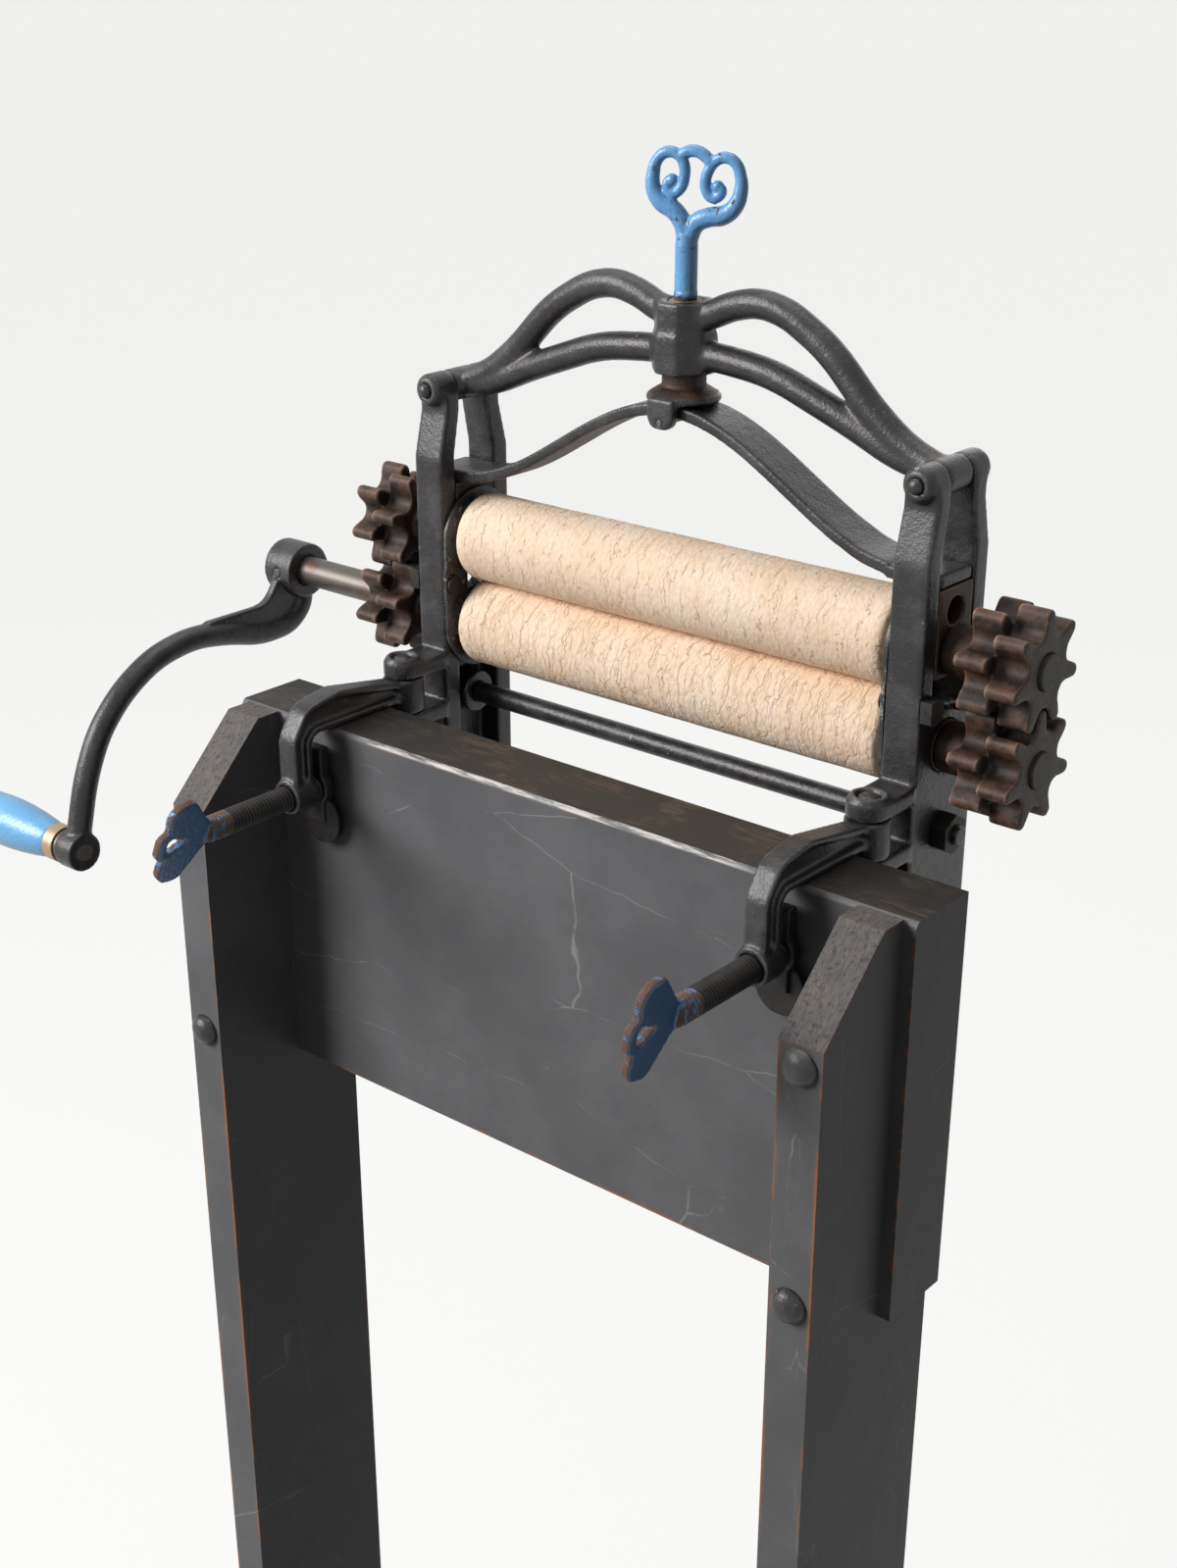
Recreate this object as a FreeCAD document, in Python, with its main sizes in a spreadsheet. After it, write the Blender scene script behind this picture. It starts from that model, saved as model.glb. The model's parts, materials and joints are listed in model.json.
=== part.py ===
import FreeCAD, Part
import Sketcher
import math
import operator
import os
import types

# Hand-cranked laundry wringer clamped to the cross board of a wooden stand.
# Millimetres, +Z up. The origin is on the floor under the middle of the overall box:
# X runs along the rolls towards the free gear end, Y from the operator's side of the board
# through the legs' mid-depth to the rolls.

SIZES = [
    ("board_top", 915.0, "height of the cross board's upper edge above the floor"),
    ("board_length", 406.0, "cross board from end to end"),
    ("board_height", 195.0, "cross board's width, stood on edge"),
    ("board_thickness", 40.0, "cross board's thickness"),
    ("leg_inset", 17.0, "leg's middle in from the board's end"),
    ("leg_thickness", 22.0, "leg's thickness along the rolls"),
    ("leg_depth", 94.0, "leg's depth from front to back"),
    ("chamfer_run", 40.0, "depth of the sloping cut on a leg's top"),
    ("chamfer_drop", 39.0, "height of the sloping cut on a leg's top"),
    ("foot_length", 460.0, "sled foot from front to back"),
    ("foot_width", 44.0, "sled foot's thickness along the rolls"),
    ("foot_height", 70.0, "sled foot's height at the leg"),
    ("foot_toe", 36.0, "sled foot's height at its ends"),
    ("foot_shoulder", 150.0, "length of the foot's level top"),
    ("foot_pad", 90.0, "length of each sole"),
    ("foot_relief", 8.0, "height of the arch between the soles"),
    ("tenon_width", 60.0, "leg tenon's width"),
    ("tenon_length", 50.0, "leg tenon's length"),
    ("tenon_play", 0.2, "room round a tenon in its mortise"),
    ("peg_dia", 10.0, "draw peg through a tenon"),
    ("rail_bottom", 170.0, "height of the lower stretcher above the floor"),
    ("rail_height", 70.0, "lower stretcher's width, stood on edge"),
    ("rail_thickness", 22.0, "lower stretcher's thickness"),
    ("rail_screw_dia", 6.0, "stretcher screw's shank"),
    ("rail_screw_length", 75.0, "stretcher screw under its head"),
    ("rail_screw_head", 13.0, "stretcher screw's round head"),
    ("rail_screw_dome", 4.0, "stretcher screw head's height"),
    ("rail_screw_spacing", 36.0, "between the two screws at one end"),
    ("bolt_dia", 8.0, "carriage bolt's shank"),
    ("bolt_head", 17.0, "carriage bolt's round head"),
    ("bolt_dome", 6.0, "carriage bolt head's height"),
    ("bolt_upper_drop", 49.0, "upper bolt below the board's top"),
    ("bolt_lower_drop", 164.0, "lower bolt below the board's top"),
    ("bolt_tail", 4.0, "bolt's thread past its nut"),
    ("bolt_play", 0.4, "hole across a bolt or screw, over its shank"),
    ("washer_dia", 24.0, "washer under a bolt's nut"),
    ("washer_thickness", 2.0, "washer's thickness"),
    ("nut_width", 13.0, "bolt nut across its flats"),
    ("nut_height", 6.5, "bolt nut's height"),
    ("roller_dia", 44.45, "rubber roll's diameter"),
    ("roller_length", 254.0, "rubber roll's length"),
    ("roller_bevel", 2.5, "bevel at a roll's ends"),
    ("roll_gap", 0.4, "between the two rolls at rest"),
    ("roll_setback", 103.0, "roll axes behind the board's front"),
    ("roll_rise", 33.0, "lower roll axis above the board's top"),
    ("shaft_dia", 16.0, "roll shaft"),
    ("shaft_proud", 1.6, "shaft's end past the gear or crank hub"),
    ("running_play", 0.05, "radial play of a running fit"),
    ("frame_gap", 5.5, "roll's end to a side frame"),
    ("prong_width", 18.0, "side frame's width along the rolls"),
    ("fork_depth", 50.0, "side frame's fork over both prongs"),
    ("slot_width", 28.0, "fork's slot between the prongs"),
    ("web_thickness", 6.0, "side frame's outer web"),
    ("web_rise", 14.0, "web's upper edge above the lower roll axis"),
    ("bow_start", 87.0, "where the prongs begin to draw in, above the lower roll axis"),
    ("bow_end", 109.0, "where the prongs run straight again, above the lower roll axis"),
    ("bow_radius", 13.0, "bends of a prong's S curve"),
    ("neck_depth", 39.0, "prongs' outer faces at the necks"),
    ("pin_rise", 120.3, "top bar pins above the lower roll axis"),
    ("eyelet_dia", 16.0, "prong's eyelet round a top bar pin"),
    ("eyelet_depth", 46.0, "eyelets over their outer faces"),
    ("eyelet_ring", 12.5, "raised ring on an eyelet's outer face"),
    ("ring_height", 2.0, "raised ring's height"),
    ("top_pin_dia", 7.0, "top bar pin"),
    ("pin_dome", 2.5, "riveted end of a pin"),
    ("bar_boss_dia", 16.0, "top bar's end boss"),
    ("bar_boss_length", 19.0, "top bar's end boss, front to back"),
    ("eyelet_play", 0.25, "top bar's end boss to each eyelet"),
    ("tail_drop", 108.0, "side frame's foot below the lower roll axis"),
    ("tail_rib", 8.0, "rib across a side frame's foot"),
    ("pad_height", 35.0, "back pad that bears on the board"),
    ("rod_drop", 41.0, "stretcher rod below the lower roll axis"),
    ("rod_dia", 11.0, "stretcher rod between the frames"),
    ("rod_end_dia", 9.0, "stretcher rod's threaded ends"),
    ("rod_boss_dia", 22.0, "side frame's boss round the rod"),
    ("rod_nut_width", 17.0, "rod nut across its flats"),
    ("rod_nut_height", 8.0, "rod nut's height"),
    ("rod_tail", 3.0, "rod's thread past its nut"),
    ("bearing_boss_dia", 34.0, "side frame's boss round the lower bush"),
    ("bush_dia", 24.0, "lower bearing bush outside"),
    ("pivot_forward", 47.0, "clamp pivots in front of the roll axes"),
    ("lug_dia", 20.0, "clamp lug round its pin"),
    ("lug_thickness", 8.0, "clamp lug's thickness"),
    ("lug_drop", 13.0, "upper lug's top below the lower roll axis"),
    ("lug_space", 19.0, "between the two lugs"),
    ("lug_play", 0.3, "clamp arm's barrel to each lug"),
    ("lug_collar_dia", 17.5, "raised collar on the upper lug"),
    ("lug_collar", 2.5, "raised collar's height"),
    ("lug_recess", 12.0, "collar's recess round the pin's end"),
    ("pivot_dia", 10.0, "clamp pin"),
    ("guard_thickness", 2.0, "end guard plate"),
    ("guard_dia", 49.0, "end guard round each roll axis"),
    ("guard_ear", 17.0, "height of an end guard's ears"),
    ("guard_slot_play", 1.0, "end guard's slot beside the shafts"),
    ("guard_bolt_dia", 6.0, "guard bolt"),
    ("guard_bolt_inset", 5.5, "guard bolt in from the fork's outer face"),
    ("guard_head", 10.0, "guard bolt's square head, across"),
    ("guard_head_height", 6.0, "guard bolt's square head"),
    ("guard_rivet", 1.5, "guard bolt's flat end on the plate"),
    ("lift", 9.0, "how far the upper roll lifts"),
    ("block_play", 0.3, "bearing block to each prong"),
    ("block_drop", 11.5, "bearing block below the upper roll axis"),
    ("block_eye", 13.0, "cored hole through a bearing block"),
    ("block_eye_rise", 17.6, "cored hole above the upper roll axis"),
    ("seat_rise", 74.0, "bow spring's seats above the lower roll axis"),
    ("seat_play", 0.3, "bow spring's ends to the bearing blocks"),
    ("leaf_width", 25.0, "bow spring's leaf"),
    ("leaf_thickness", 6.0, "bow spring's thickness"),
    ("leaf_rise", 52.0, "bow spring's rise from its ends to its crown"),
    ("leaf_end", 17.0, "bow spring's level end"),
    ("bar_dia", 13.5, "top bar's round limbs"),
    ("bar_rise", 33.5, "top bar's lower limb above its pins"),
    ("arch_rise", 60.5, "top bar's arch above its pins"),
    ("hub_width", 29.0, "top bar's screw boss across its flats"),
    ("hub_bottom", 24.8, "screw boss's underside above the pins"),
    ("hub_step", 42.7, "screw boss's step above the pins"),
    ("hub_top", 57.1, "screw boss's top above the pins"),
    ("collar_width", 27.0, "screw boss above its step across its flats"),
    ("saddle_dia", 35.0, "saddle's flange"),
    ("saddle_flange", 7.0, "saddle flange's thickness at the neck"),
    ("saddle_rim", 3.0, "saddle flange's thickness at its rim"),
    ("saddle_play", 0.1, "saddle to the bow spring and to the screw's shoulder"),
    ("saddle_neck_dia", 22.0, "saddle's neck in the screw boss"),
    ("saddle_neck", 8.0, "saddle neck's length"),
    ("ear_width", 15.0, "saddle ear's width"),
    ("ear_thickness", 5.5, "saddle ear's thickness"),
    ("ear_drop", 11.0, "saddle ears below the flange"),
    ("ear_corner", 6.0, "rounding of a saddle ear's lower corners"),
    ("ear_play", 0.5, "saddle ear to the leaf's edge"),
    ("saddle_pin_dia", 3.2, "saddle pin under the leaf"),
    ("press_dia", 16.0, "pressure screw"),
    ("press_tip_dia", 11.0, "pressure screw's tip in the saddle"),
    ("press_tip", 6.0, "pressure screw tip's length"),
    ("press_travel", 5.0, "how far the pressure screw backs off"),
    ("stem_dia", 10.5, "scroll key's stem"),
    ("stem_height", 26.0, "scroll key's stem above the screw boss"),
    ("key_width", 55.0, "scroll key from side to side"),
    ("key_height", 40.0, "scroll key above its stem"),
    ("strand_dia", 7.0, "scroll key's strands"),
    ("gear_play", 0.4, "gear hub to a side frame"),
    ("gear_hub_dia", 24.0, "gear's hub"),
    ("gear_hub", 15.0, "gear hub's length"),
    ("gear_row", 15.5, "one row of teeth along the shaft"),
    ("tip_radius", 27.5, "gear's tip circle"),
    ("root_radius", 16.6, "gear's root circle"),
    ("foot_radius", 20.8, "circle on which the round gaps between teeth begin"),
    ("tooth_root", 8.2, "tooth's width where the gap begins"),
    ("tooth_tip", 6.8, "tooth's width at its tip"),
    ("crank_gap", 63.5, "bare shaft between the gear and the crank hub"),
    ("crank_hub_dia", 30.0, "crank's hub"),
    ("crank_hub", 20.0, "crank hub's length"),
    ("crank_reach", 165.0, "crank handle in front of the lower roll axis"),
    ("crank_fall", 116.0, "crank handle below the lower roll axis"),
    ("crank_dia", 13.0, "crank arm's section"),
    ("crank_web", 5.0, "crank arm's web by the hub"),
    ("crank_end_dia", 21.0, "crank arm's boss at the handle"),
    ("crank_end", 13.5, "crank arm's boss length"),
    ("cross_pin_dia", 5.0, "pin through the crank hub and the shaft"),
    ("spindle_dia", 9.0, "handle spindle"),
    ("spindle_collar_dia", 18.0, "spindle's collar"),
    ("spindle_collar", 2.5, "spindle collar's thickness"),
    ("spindle_head", 14.0, "spindle's riveted head"),
    ("spindle_dome", 4.0, "spindle head's height"),
    ("handle_play", 0.3, "handle to the collar and to the head"),
    ("ferrule_dia", 20.0, "handle's ferrule"),
    ("ferrule_length", 8.0, "ferrule's length"),
    ("handle_dia", 28.0, "wooden handle's belly"),
    ("handle_length", 97.75, "wooden handle's length"),
    ("arm_width", 12.0, "clamp arm's flanges"),
    ("arm_web", 5.0, "clamp arm's web"),
    ("arm_flange", 3.5, "clamp arm's flange thickness"),
    ("arm_play", 0.4, "clamp arm above the board"),
    ("arm_crest", 18.5, "clamp arm's crest above the board"),
    ("arm_overhang", 26.0, "clamp arm's front before the board"),
    ("arm_leg", 12.0, "depth of a clamp arm's front leg"),
    ("arm_crest_depth", 6.0, "clamp arm's crest behind the board's front"),
    ("arm_shoulder", 16.0, "clamp arm's shoulder before the board's front"),
    ("arm_bend", 12.0, "clamp arm's outer corners"),
    ("barrel_dia", 21.0, "clamp arm's barrel round its pin"),
    ("screw_drop", 62.7, "clamp screw below the lower roll axis"),
    ("screw_dia", 12.7, "clamp screw"),
    ("screw_boss_dia", 18.0, "clamp arm's boss round its screw"),
    ("screw_boss_proud", 2.0, "clamp arm's boss past its leg's front"),
    ("screw_tip_dia", 9.0, "clamp screw's tip in the jaw"),
    ("screw_tip", 6.5, "clamp screw tip's length"),
    ("screw_tip_play", 0.1, "clamp screw's shoulder to the jaw"),
    ("screw_reach", 80.0, "clamp screw's wing before the board"),
    ("wing_length", 30.0, "wing's length"),
    ("wing_width", 50.0, "wing's width"),
    ("wing_thickness", 4.4, "wing's thickness"),
    ("jaw_play", 0.6, "jaw's face to the board"),
    ("jaw_dia", 26.0, "jaw's disc"),
    ("jaw_drop", 18.0, "jaw's disc below the screw"),
    ("jaw_thickness", 6.0, "jaw's disc at its middle"),
    ("jaw_dome", 30.0, "radius of the jaw's bearing face"),
    ("jaw_boss_dia", 18.0, "jaw's boss round the screw's tip"),
    ("jaw_boss", 3.0, "jaw's boss behind its disc"),
    ("jaw_stem", 12.0, "jaw stem's width"),
    ("jaw_stem_rise", 22.0, "jaw's stem above the screw"),
]
TOOTH_COUNT = 7
# Degrees by which the scroll key and the clamp wings stand turned at rest
KEY_TURN = 17.5
WING_TURN = {"left": 24, "right": 12}

doc = FreeCAD.newDocument("laundry_wringer")
sheet = doc.addObject("Spreadsheet::Sheet", "dims")
for row, (alias, number, words) in enumerate(SIZES, start=1):
    sheet.set(f"A{row}", words)
    sheet.set(f"B{row}", str(number))
    sheet.setAlias(f"B{row}", alias)
doc.recompute()


class Size:
    """A length that keeps the sheet formula it comes from."""

    def __init__(self, value, formula):
        self.value = value
        self.formula = formula

    def __float__(self):
        return self.value

    def __neg__(self):
        return Size(-self.value, f"-({self.formula})")

    def __add__(self, other):
        return join(self, "+", other)

    def __radd__(self, other):
        return join(other, "+", self)

    def __sub__(self, other):
        return join(self, "-", other)

    def __rsub__(self, other):
        return join(other, "-", self)

    def __mul__(self, other):
        return join(self, "*", other)

    def __rmul__(self, other):
        return join(other, "*", self)

    def __truediv__(self, other):
        return join(self, "/", other)


SIGNS = {"+": operator.add, "-": operator.sub, "*": operator.mul, "/": operator.truediv}


def join(first, sign, second):
    words = [item.formula if isinstance(item, Size) else repr(float(item)) for item in (first, second)]
    return Size(SIGNS[sign](float(first), float(second)), f"({words[0]} {sign} {words[1]})")


d = types.SimpleNamespace(**{name: Size(float(sheet.get(name)), f"dims.{name}") for name, _, _ in SIZES})

# Places along the rolls, measured from the wringer's mid-plane
frame_in = d.roller_length / 2 + d.frame_gap
frame_mid = frame_in + d.prong_width / 2
frame_out = frame_in + d.prong_width
gear_start = frame_out + d.gear_play
teeth_start = gear_start + d.gear_hub
gear_end = teeth_start + 2 * d.gear_row
crank_near = gear_end + d.crank_gap
crank_mid = crank_near + d.crank_hub / 2
crank_far = crank_near + d.crank_hub
collar_start = crank_mid + d.crank_end / 2
ferrule_start = collar_start + d.spindle_collar + d.handle_play
handle_start = ferrule_start + d.ferrule_length
handle_end = handle_start + d.handle_length
spindle_end = handle_end + d.handle_play + d.spindle_dome
leg_mid = d.board_length / 2 - d.leg_inset
leg_in = leg_mid - d.leg_thickness / 2
leg_out = leg_mid + d.leg_thickness / 2

# The mid-plane stands where the overall box is centred on X = 0
mid = (spindle_end - gear_end - d.shaft_proud) / 2

# Depths and heights in the part's own frame
leg_front = -d.leg_depth / 2
board_back = d.leg_depth / 2
board_front = board_back - d.board_thickness
board_bottom = d.board_top - d.board_height
roll_y = board_front + d.roll_setback
low_z = d.board_top + d.roll_rise

# Depths from the roll axes and heights from the lower roll axis, used by the castings
upper = d.roller_dia + d.roll_gap
front_face = -d.roll_setback
back_face = d.board_thickness - d.roll_setback
fork_half = d.fork_depth / 2
slot_half = d.slot_width / 2
eyelet_in = d.bar_boss_length / 2 + d.eyelet_play
lug_top = -d.lug_drop
lug_under = lug_top - d.lug_thickness
lug_floor = lug_under - d.lug_space
lug_bottom = lug_floor - d.lug_thickness
screw_z = -d.screw_drop
crown = d.seat_rise + d.leaf_rise + d.leaf_thickness
flange_bottom = crown + d.saddle_play
flange_top = flange_bottom + d.saddle_flange
neck_top = flange_top + d.saddle_neck
hub_bottom = d.pin_rise + d.hub_bottom
hub_top = d.pin_rise + d.hub_top
stem_top = hub_top + d.stem_height
jaw_face = front_face - d.jaw_play
jaw_back = jaw_face - d.jaw_thickness - d.jaw_boss
guard_bolt_y = fork_half - d.guard_bolt_inset
cross_pin_place = (mid - crank_mid, roll_y - d.crank_hub_dia / 2, low_z)

UP = FreeCAD.Vector(0, 0, 1)
DIRECTIONS = {
    "X": FreeCAD.Vector(1, 0, 0),
    "-X": FreeCAD.Vector(-1, 0, 0),
    "Y": FreeCAD.Vector(0, 1, 0),
    "-Y": FreeCAD.Vector(0, -1, 0),
    "Z": UP,
    "-Z": FreeCAD.Vector(0, 0, -1),
}
SIDES = {"left": -1, "right": 1}
pieces = []


def keep(thing, label):
    thing.Label = label
    pieces.append(thing)
    return thing


def bind(thing, path, size):
    if isinstance(size, Size):
        thing.setExpression(path, size.formula)


def put(thing, place, axis="Z"):
    """Stand a thing at a place with its own Z along an axis."""
    spot = FreeCAD.Vector(*[float(size) for size in place])
    thing.Placement = FreeCAD.Placement(spot, FreeCAD.Rotation(UP, DIRECTIONS[axis]))
    for letter, size in zip("xyz", place):
        bind(thing, f"Placement.Base.{letter}", size)
    return thing


def cylinder(diameter, length, place, axis="Z"):
    thing = doc.addObject("Part::Cylinder", "cylinder")
    bind(thing, "Radius", diameter / 2)
    bind(thing, "Height", length)
    return put(thing, place, axis)


def box(low, sides):
    thing = doc.addObject("Part::Box", "box")
    for path, size in zip(("Length", "Width", "Height"), sides):
        bind(thing, path, size)
    return put(thing, low)


def fuse(things):
    fused = doc.addObject("Part::MultiFuse", "fused")
    fused.Shapes = things
    return fused


def cut(base, tools):
    thing = doc.addObject("Part::Cut", "cut")
    thing.Base = base
    thing.Tool = fuse(tools) if len(tools) > 1 else tools[0]
    return thing


def group(things):
    thing = doc.addObject("Part::Compound", "group")
    thing.Links = things
    return thing


def sketch_on(body, role, corners):
    """A closed outline of straight lines, each corner held by two bound distances."""
    sketch = body.newObject("Sketcher::SketchObject", "outline")
    plane = [item for item in body.Origin.OriginFeatures if item.Role == role][0]
    sketch.AttachmentSupport = [(plane, "")]
    sketch.MapMode = "FlatFace"
    count = len(corners)
    spots = [FreeCAD.Vector(float(across), float(along), 0) for across, along in corners]
    for index in range(count):
        sketch.addGeometry(Part.LineSegment(spots[index], spots[(index + 1) % count]), False)
    for index in range(count):
        sketch.addConstraint(Sketcher.Constraint("Coincident", index, 2, (index + 1) % count, 1))
    for index, corner in enumerate(corners):
        for kind, size in zip(("DistanceX", "DistanceY"), corner):
            number = sketch.addConstraint(Sketcher.Constraint(kind, -1, 1, index, 1, float(size)))
            bind(sketch, f"Constraints[{number}]", size)
    return sketch


def turned(corners, place, axis="Z"):
    """A lathe-turned piece: (radius, distance along the axis) corners spun about the axis."""
    body = doc.addObject("PartDesign::Body", "turned")
    sketch = sketch_on(body, "XZ_Plane", corners)
    spin = body.newObject("PartDesign::Revolution", "spin")
    spin.Profile = sketch
    spin.ReferenceAxis = (sketch, ["V_Axis"])
    spin.Angle = 360
    return put(body, place, axis)


def sawn(role, corners, thickness, place):
    """A piece sawn from flat stock: an outline on an origin plane, padded to its thickness."""
    body = doc.addObject("PartDesign::Body", "sawn")
    pad = body.newObject("PartDesign::Pad", "pad")
    pad.Profile = sketch_on(body, role, corners)
    bind(pad, "Length", thickness)
    pad.SideType = "Symmetric"
    body.Tip = pad
    return put(body, place)


def hexagon(width, height, bore, place, axis):
    """A nut: a hexagon across its flats with a bore."""
    half = width / 2
    corner = half * (2 / math.sqrt(3))
    ring = [(corner, 0), (corner / 2, half), (-corner / 2, half)]
    ring += [(-across, -along) if along else (-across, 0) for across, along in ring]
    body = doc.addObject("PartDesign::Body", "nut")
    pad = body.newObject("PartDesign::Pad", "pad")
    pad.Profile = sketch_on(body, "XY_Plane", ring)
    bind(pad, "Length", height)
    body.Tip = pad
    put(body, place, axis)
    return cut(body, [cylinder(bore, height, place, axis)])


def dome(radius, height, base, steps=5):
    """Corners of a low dome from its rim to its top, for a turned head."""
    turns = [math.pi / 2 * step / steps for step in range(steps + 1)]
    corners = [(radius * math.cos(turn), base + height * math.sin(turn)) for turn in turns[:-1]]
    return corners + [(0, base + height)]


def bolt(head, height, shank, length, place, axis):
    """A domed bolt or screw; its axis points from the shank out through the head."""
    corners = [(0, -length), (shank / 2, -length), (shank / 2, 0)]
    return turned(corners + dome(head / 2, height, 0), place, axis)


def rivet(diameter, length, height, place, axis):
    """A plain pin with a low domed head at both ends, centred on its place."""
    top = dome(diameter / 2, height, length / 2)
    bottom = [(radius, -along) for radius, along in reversed(top)]
    return turned(bottom + top, place, axis)


# Shapes for the castings, measured from the middle of the lower roll axis


def point(across, deep, high):
    return FreeCAD.Vector(float(across), float(deep), float(high))


def block(across, deep, high):
    """A box between pairs of sizes on each axis."""
    low = point(across[0], deep[0], high[0])
    sides = [float(pair[1]) - float(pair[0]) for pair in (across, deep, high)]
    return Part.makeBox(*sides, low)


def round_bar(diameter, start, axis, length):
    return Part.makeCylinder(float(diameter) / 2, float(length), start, DIRECTIONS[axis])


def eight_sided_bar(width, start, length):
    """An upright bar with eight flats, one of them facing each way along X and Y."""
    reach = float(width) / 2 / math.cos(math.pi / 8)
    angles = [(2 * index + 1) * math.pi / 8 for index in range(9)]
    corners = [point(reach * math.cos(angle), reach * math.sin(angle), start) for angle in angles]
    return Part.Face(Part.makePolygon(corners)).extrude(DIRECTIONS["Z"] * float(length))


def corner_arc(before, here, after, radius):
    """The first, middle and last points of the arc that rounds a corner."""
    back = (before - here).normalize()
    ahead = (after - here).normalize()
    half = back.getAngle(ahead) / 2
    inward = (back + ahead).normalize()
    reach = radius / math.tan(half)
    return here + back * reach, here + inward * (radius / math.sin(half) - radius), here + ahead * reach


def rounded_face(corners):
    """A flat face with straight sides; each corner is (point, radius), sharp where that is 0."""
    arcs = []
    for index, (here, radius) in enumerate(corners):
        if radius:
            before = corners[index - 1][0]
            after = corners[(index + 1) % len(corners)][0]
            arcs.append(corner_arc(before, here, after, float(radius)))
        else:
            arcs.append((here, here, here))
    edges = []
    for index, (first, middle, last) in enumerate(arcs):
        if first != last:
            edges.append(Part.Arc(first, middle, last).toShape())
        edges.append(Part.LineSegment(last, arcs[(index + 1) % len(arcs)][0]).toShape())
    return Part.Face(Part.Wire(edges))


def bent_bar(spots, diameter):
    """A round bar along straight runs joined by arcs as large as the runs allow."""
    edges = []
    last = spots[0]
    for before, here, after in zip(spots, spots[1:], spots[2:]):
        run = 0.45 * min((here - before).Length, (after - here).Length)
        half = (before - here).getAngle(after - here) / 2
        first, middle, end = corner_arc(before, here, after, run * math.tan(half))
        edges.append(Part.LineSegment(last, first).toShape())
        edges.append(Part.Arc(first, middle, end).toShape())
        last = end
    edges.append(Part.LineSegment(last, spots[-1]).toShape())
    circle = Part.makeCircle(float(diameter) / 2, spots[0], spots[1] - spots[0])
    return Part.Wire(edges).makePipeShell([Part.Wire(circle)], True, False)


def mirrored(shape):
    return shape.mirror(FreeCAD.Vector(), DIRECTIONS["X"])


def casting(label, shape):
    """A shape measured from the middle of the lower roll axis, set in its place."""
    thing = doc.addObject("Part::Feature", label)
    thing.Shape = shape
    return keep(put(thing, (mid, roll_y, low_z)), label)


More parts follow.
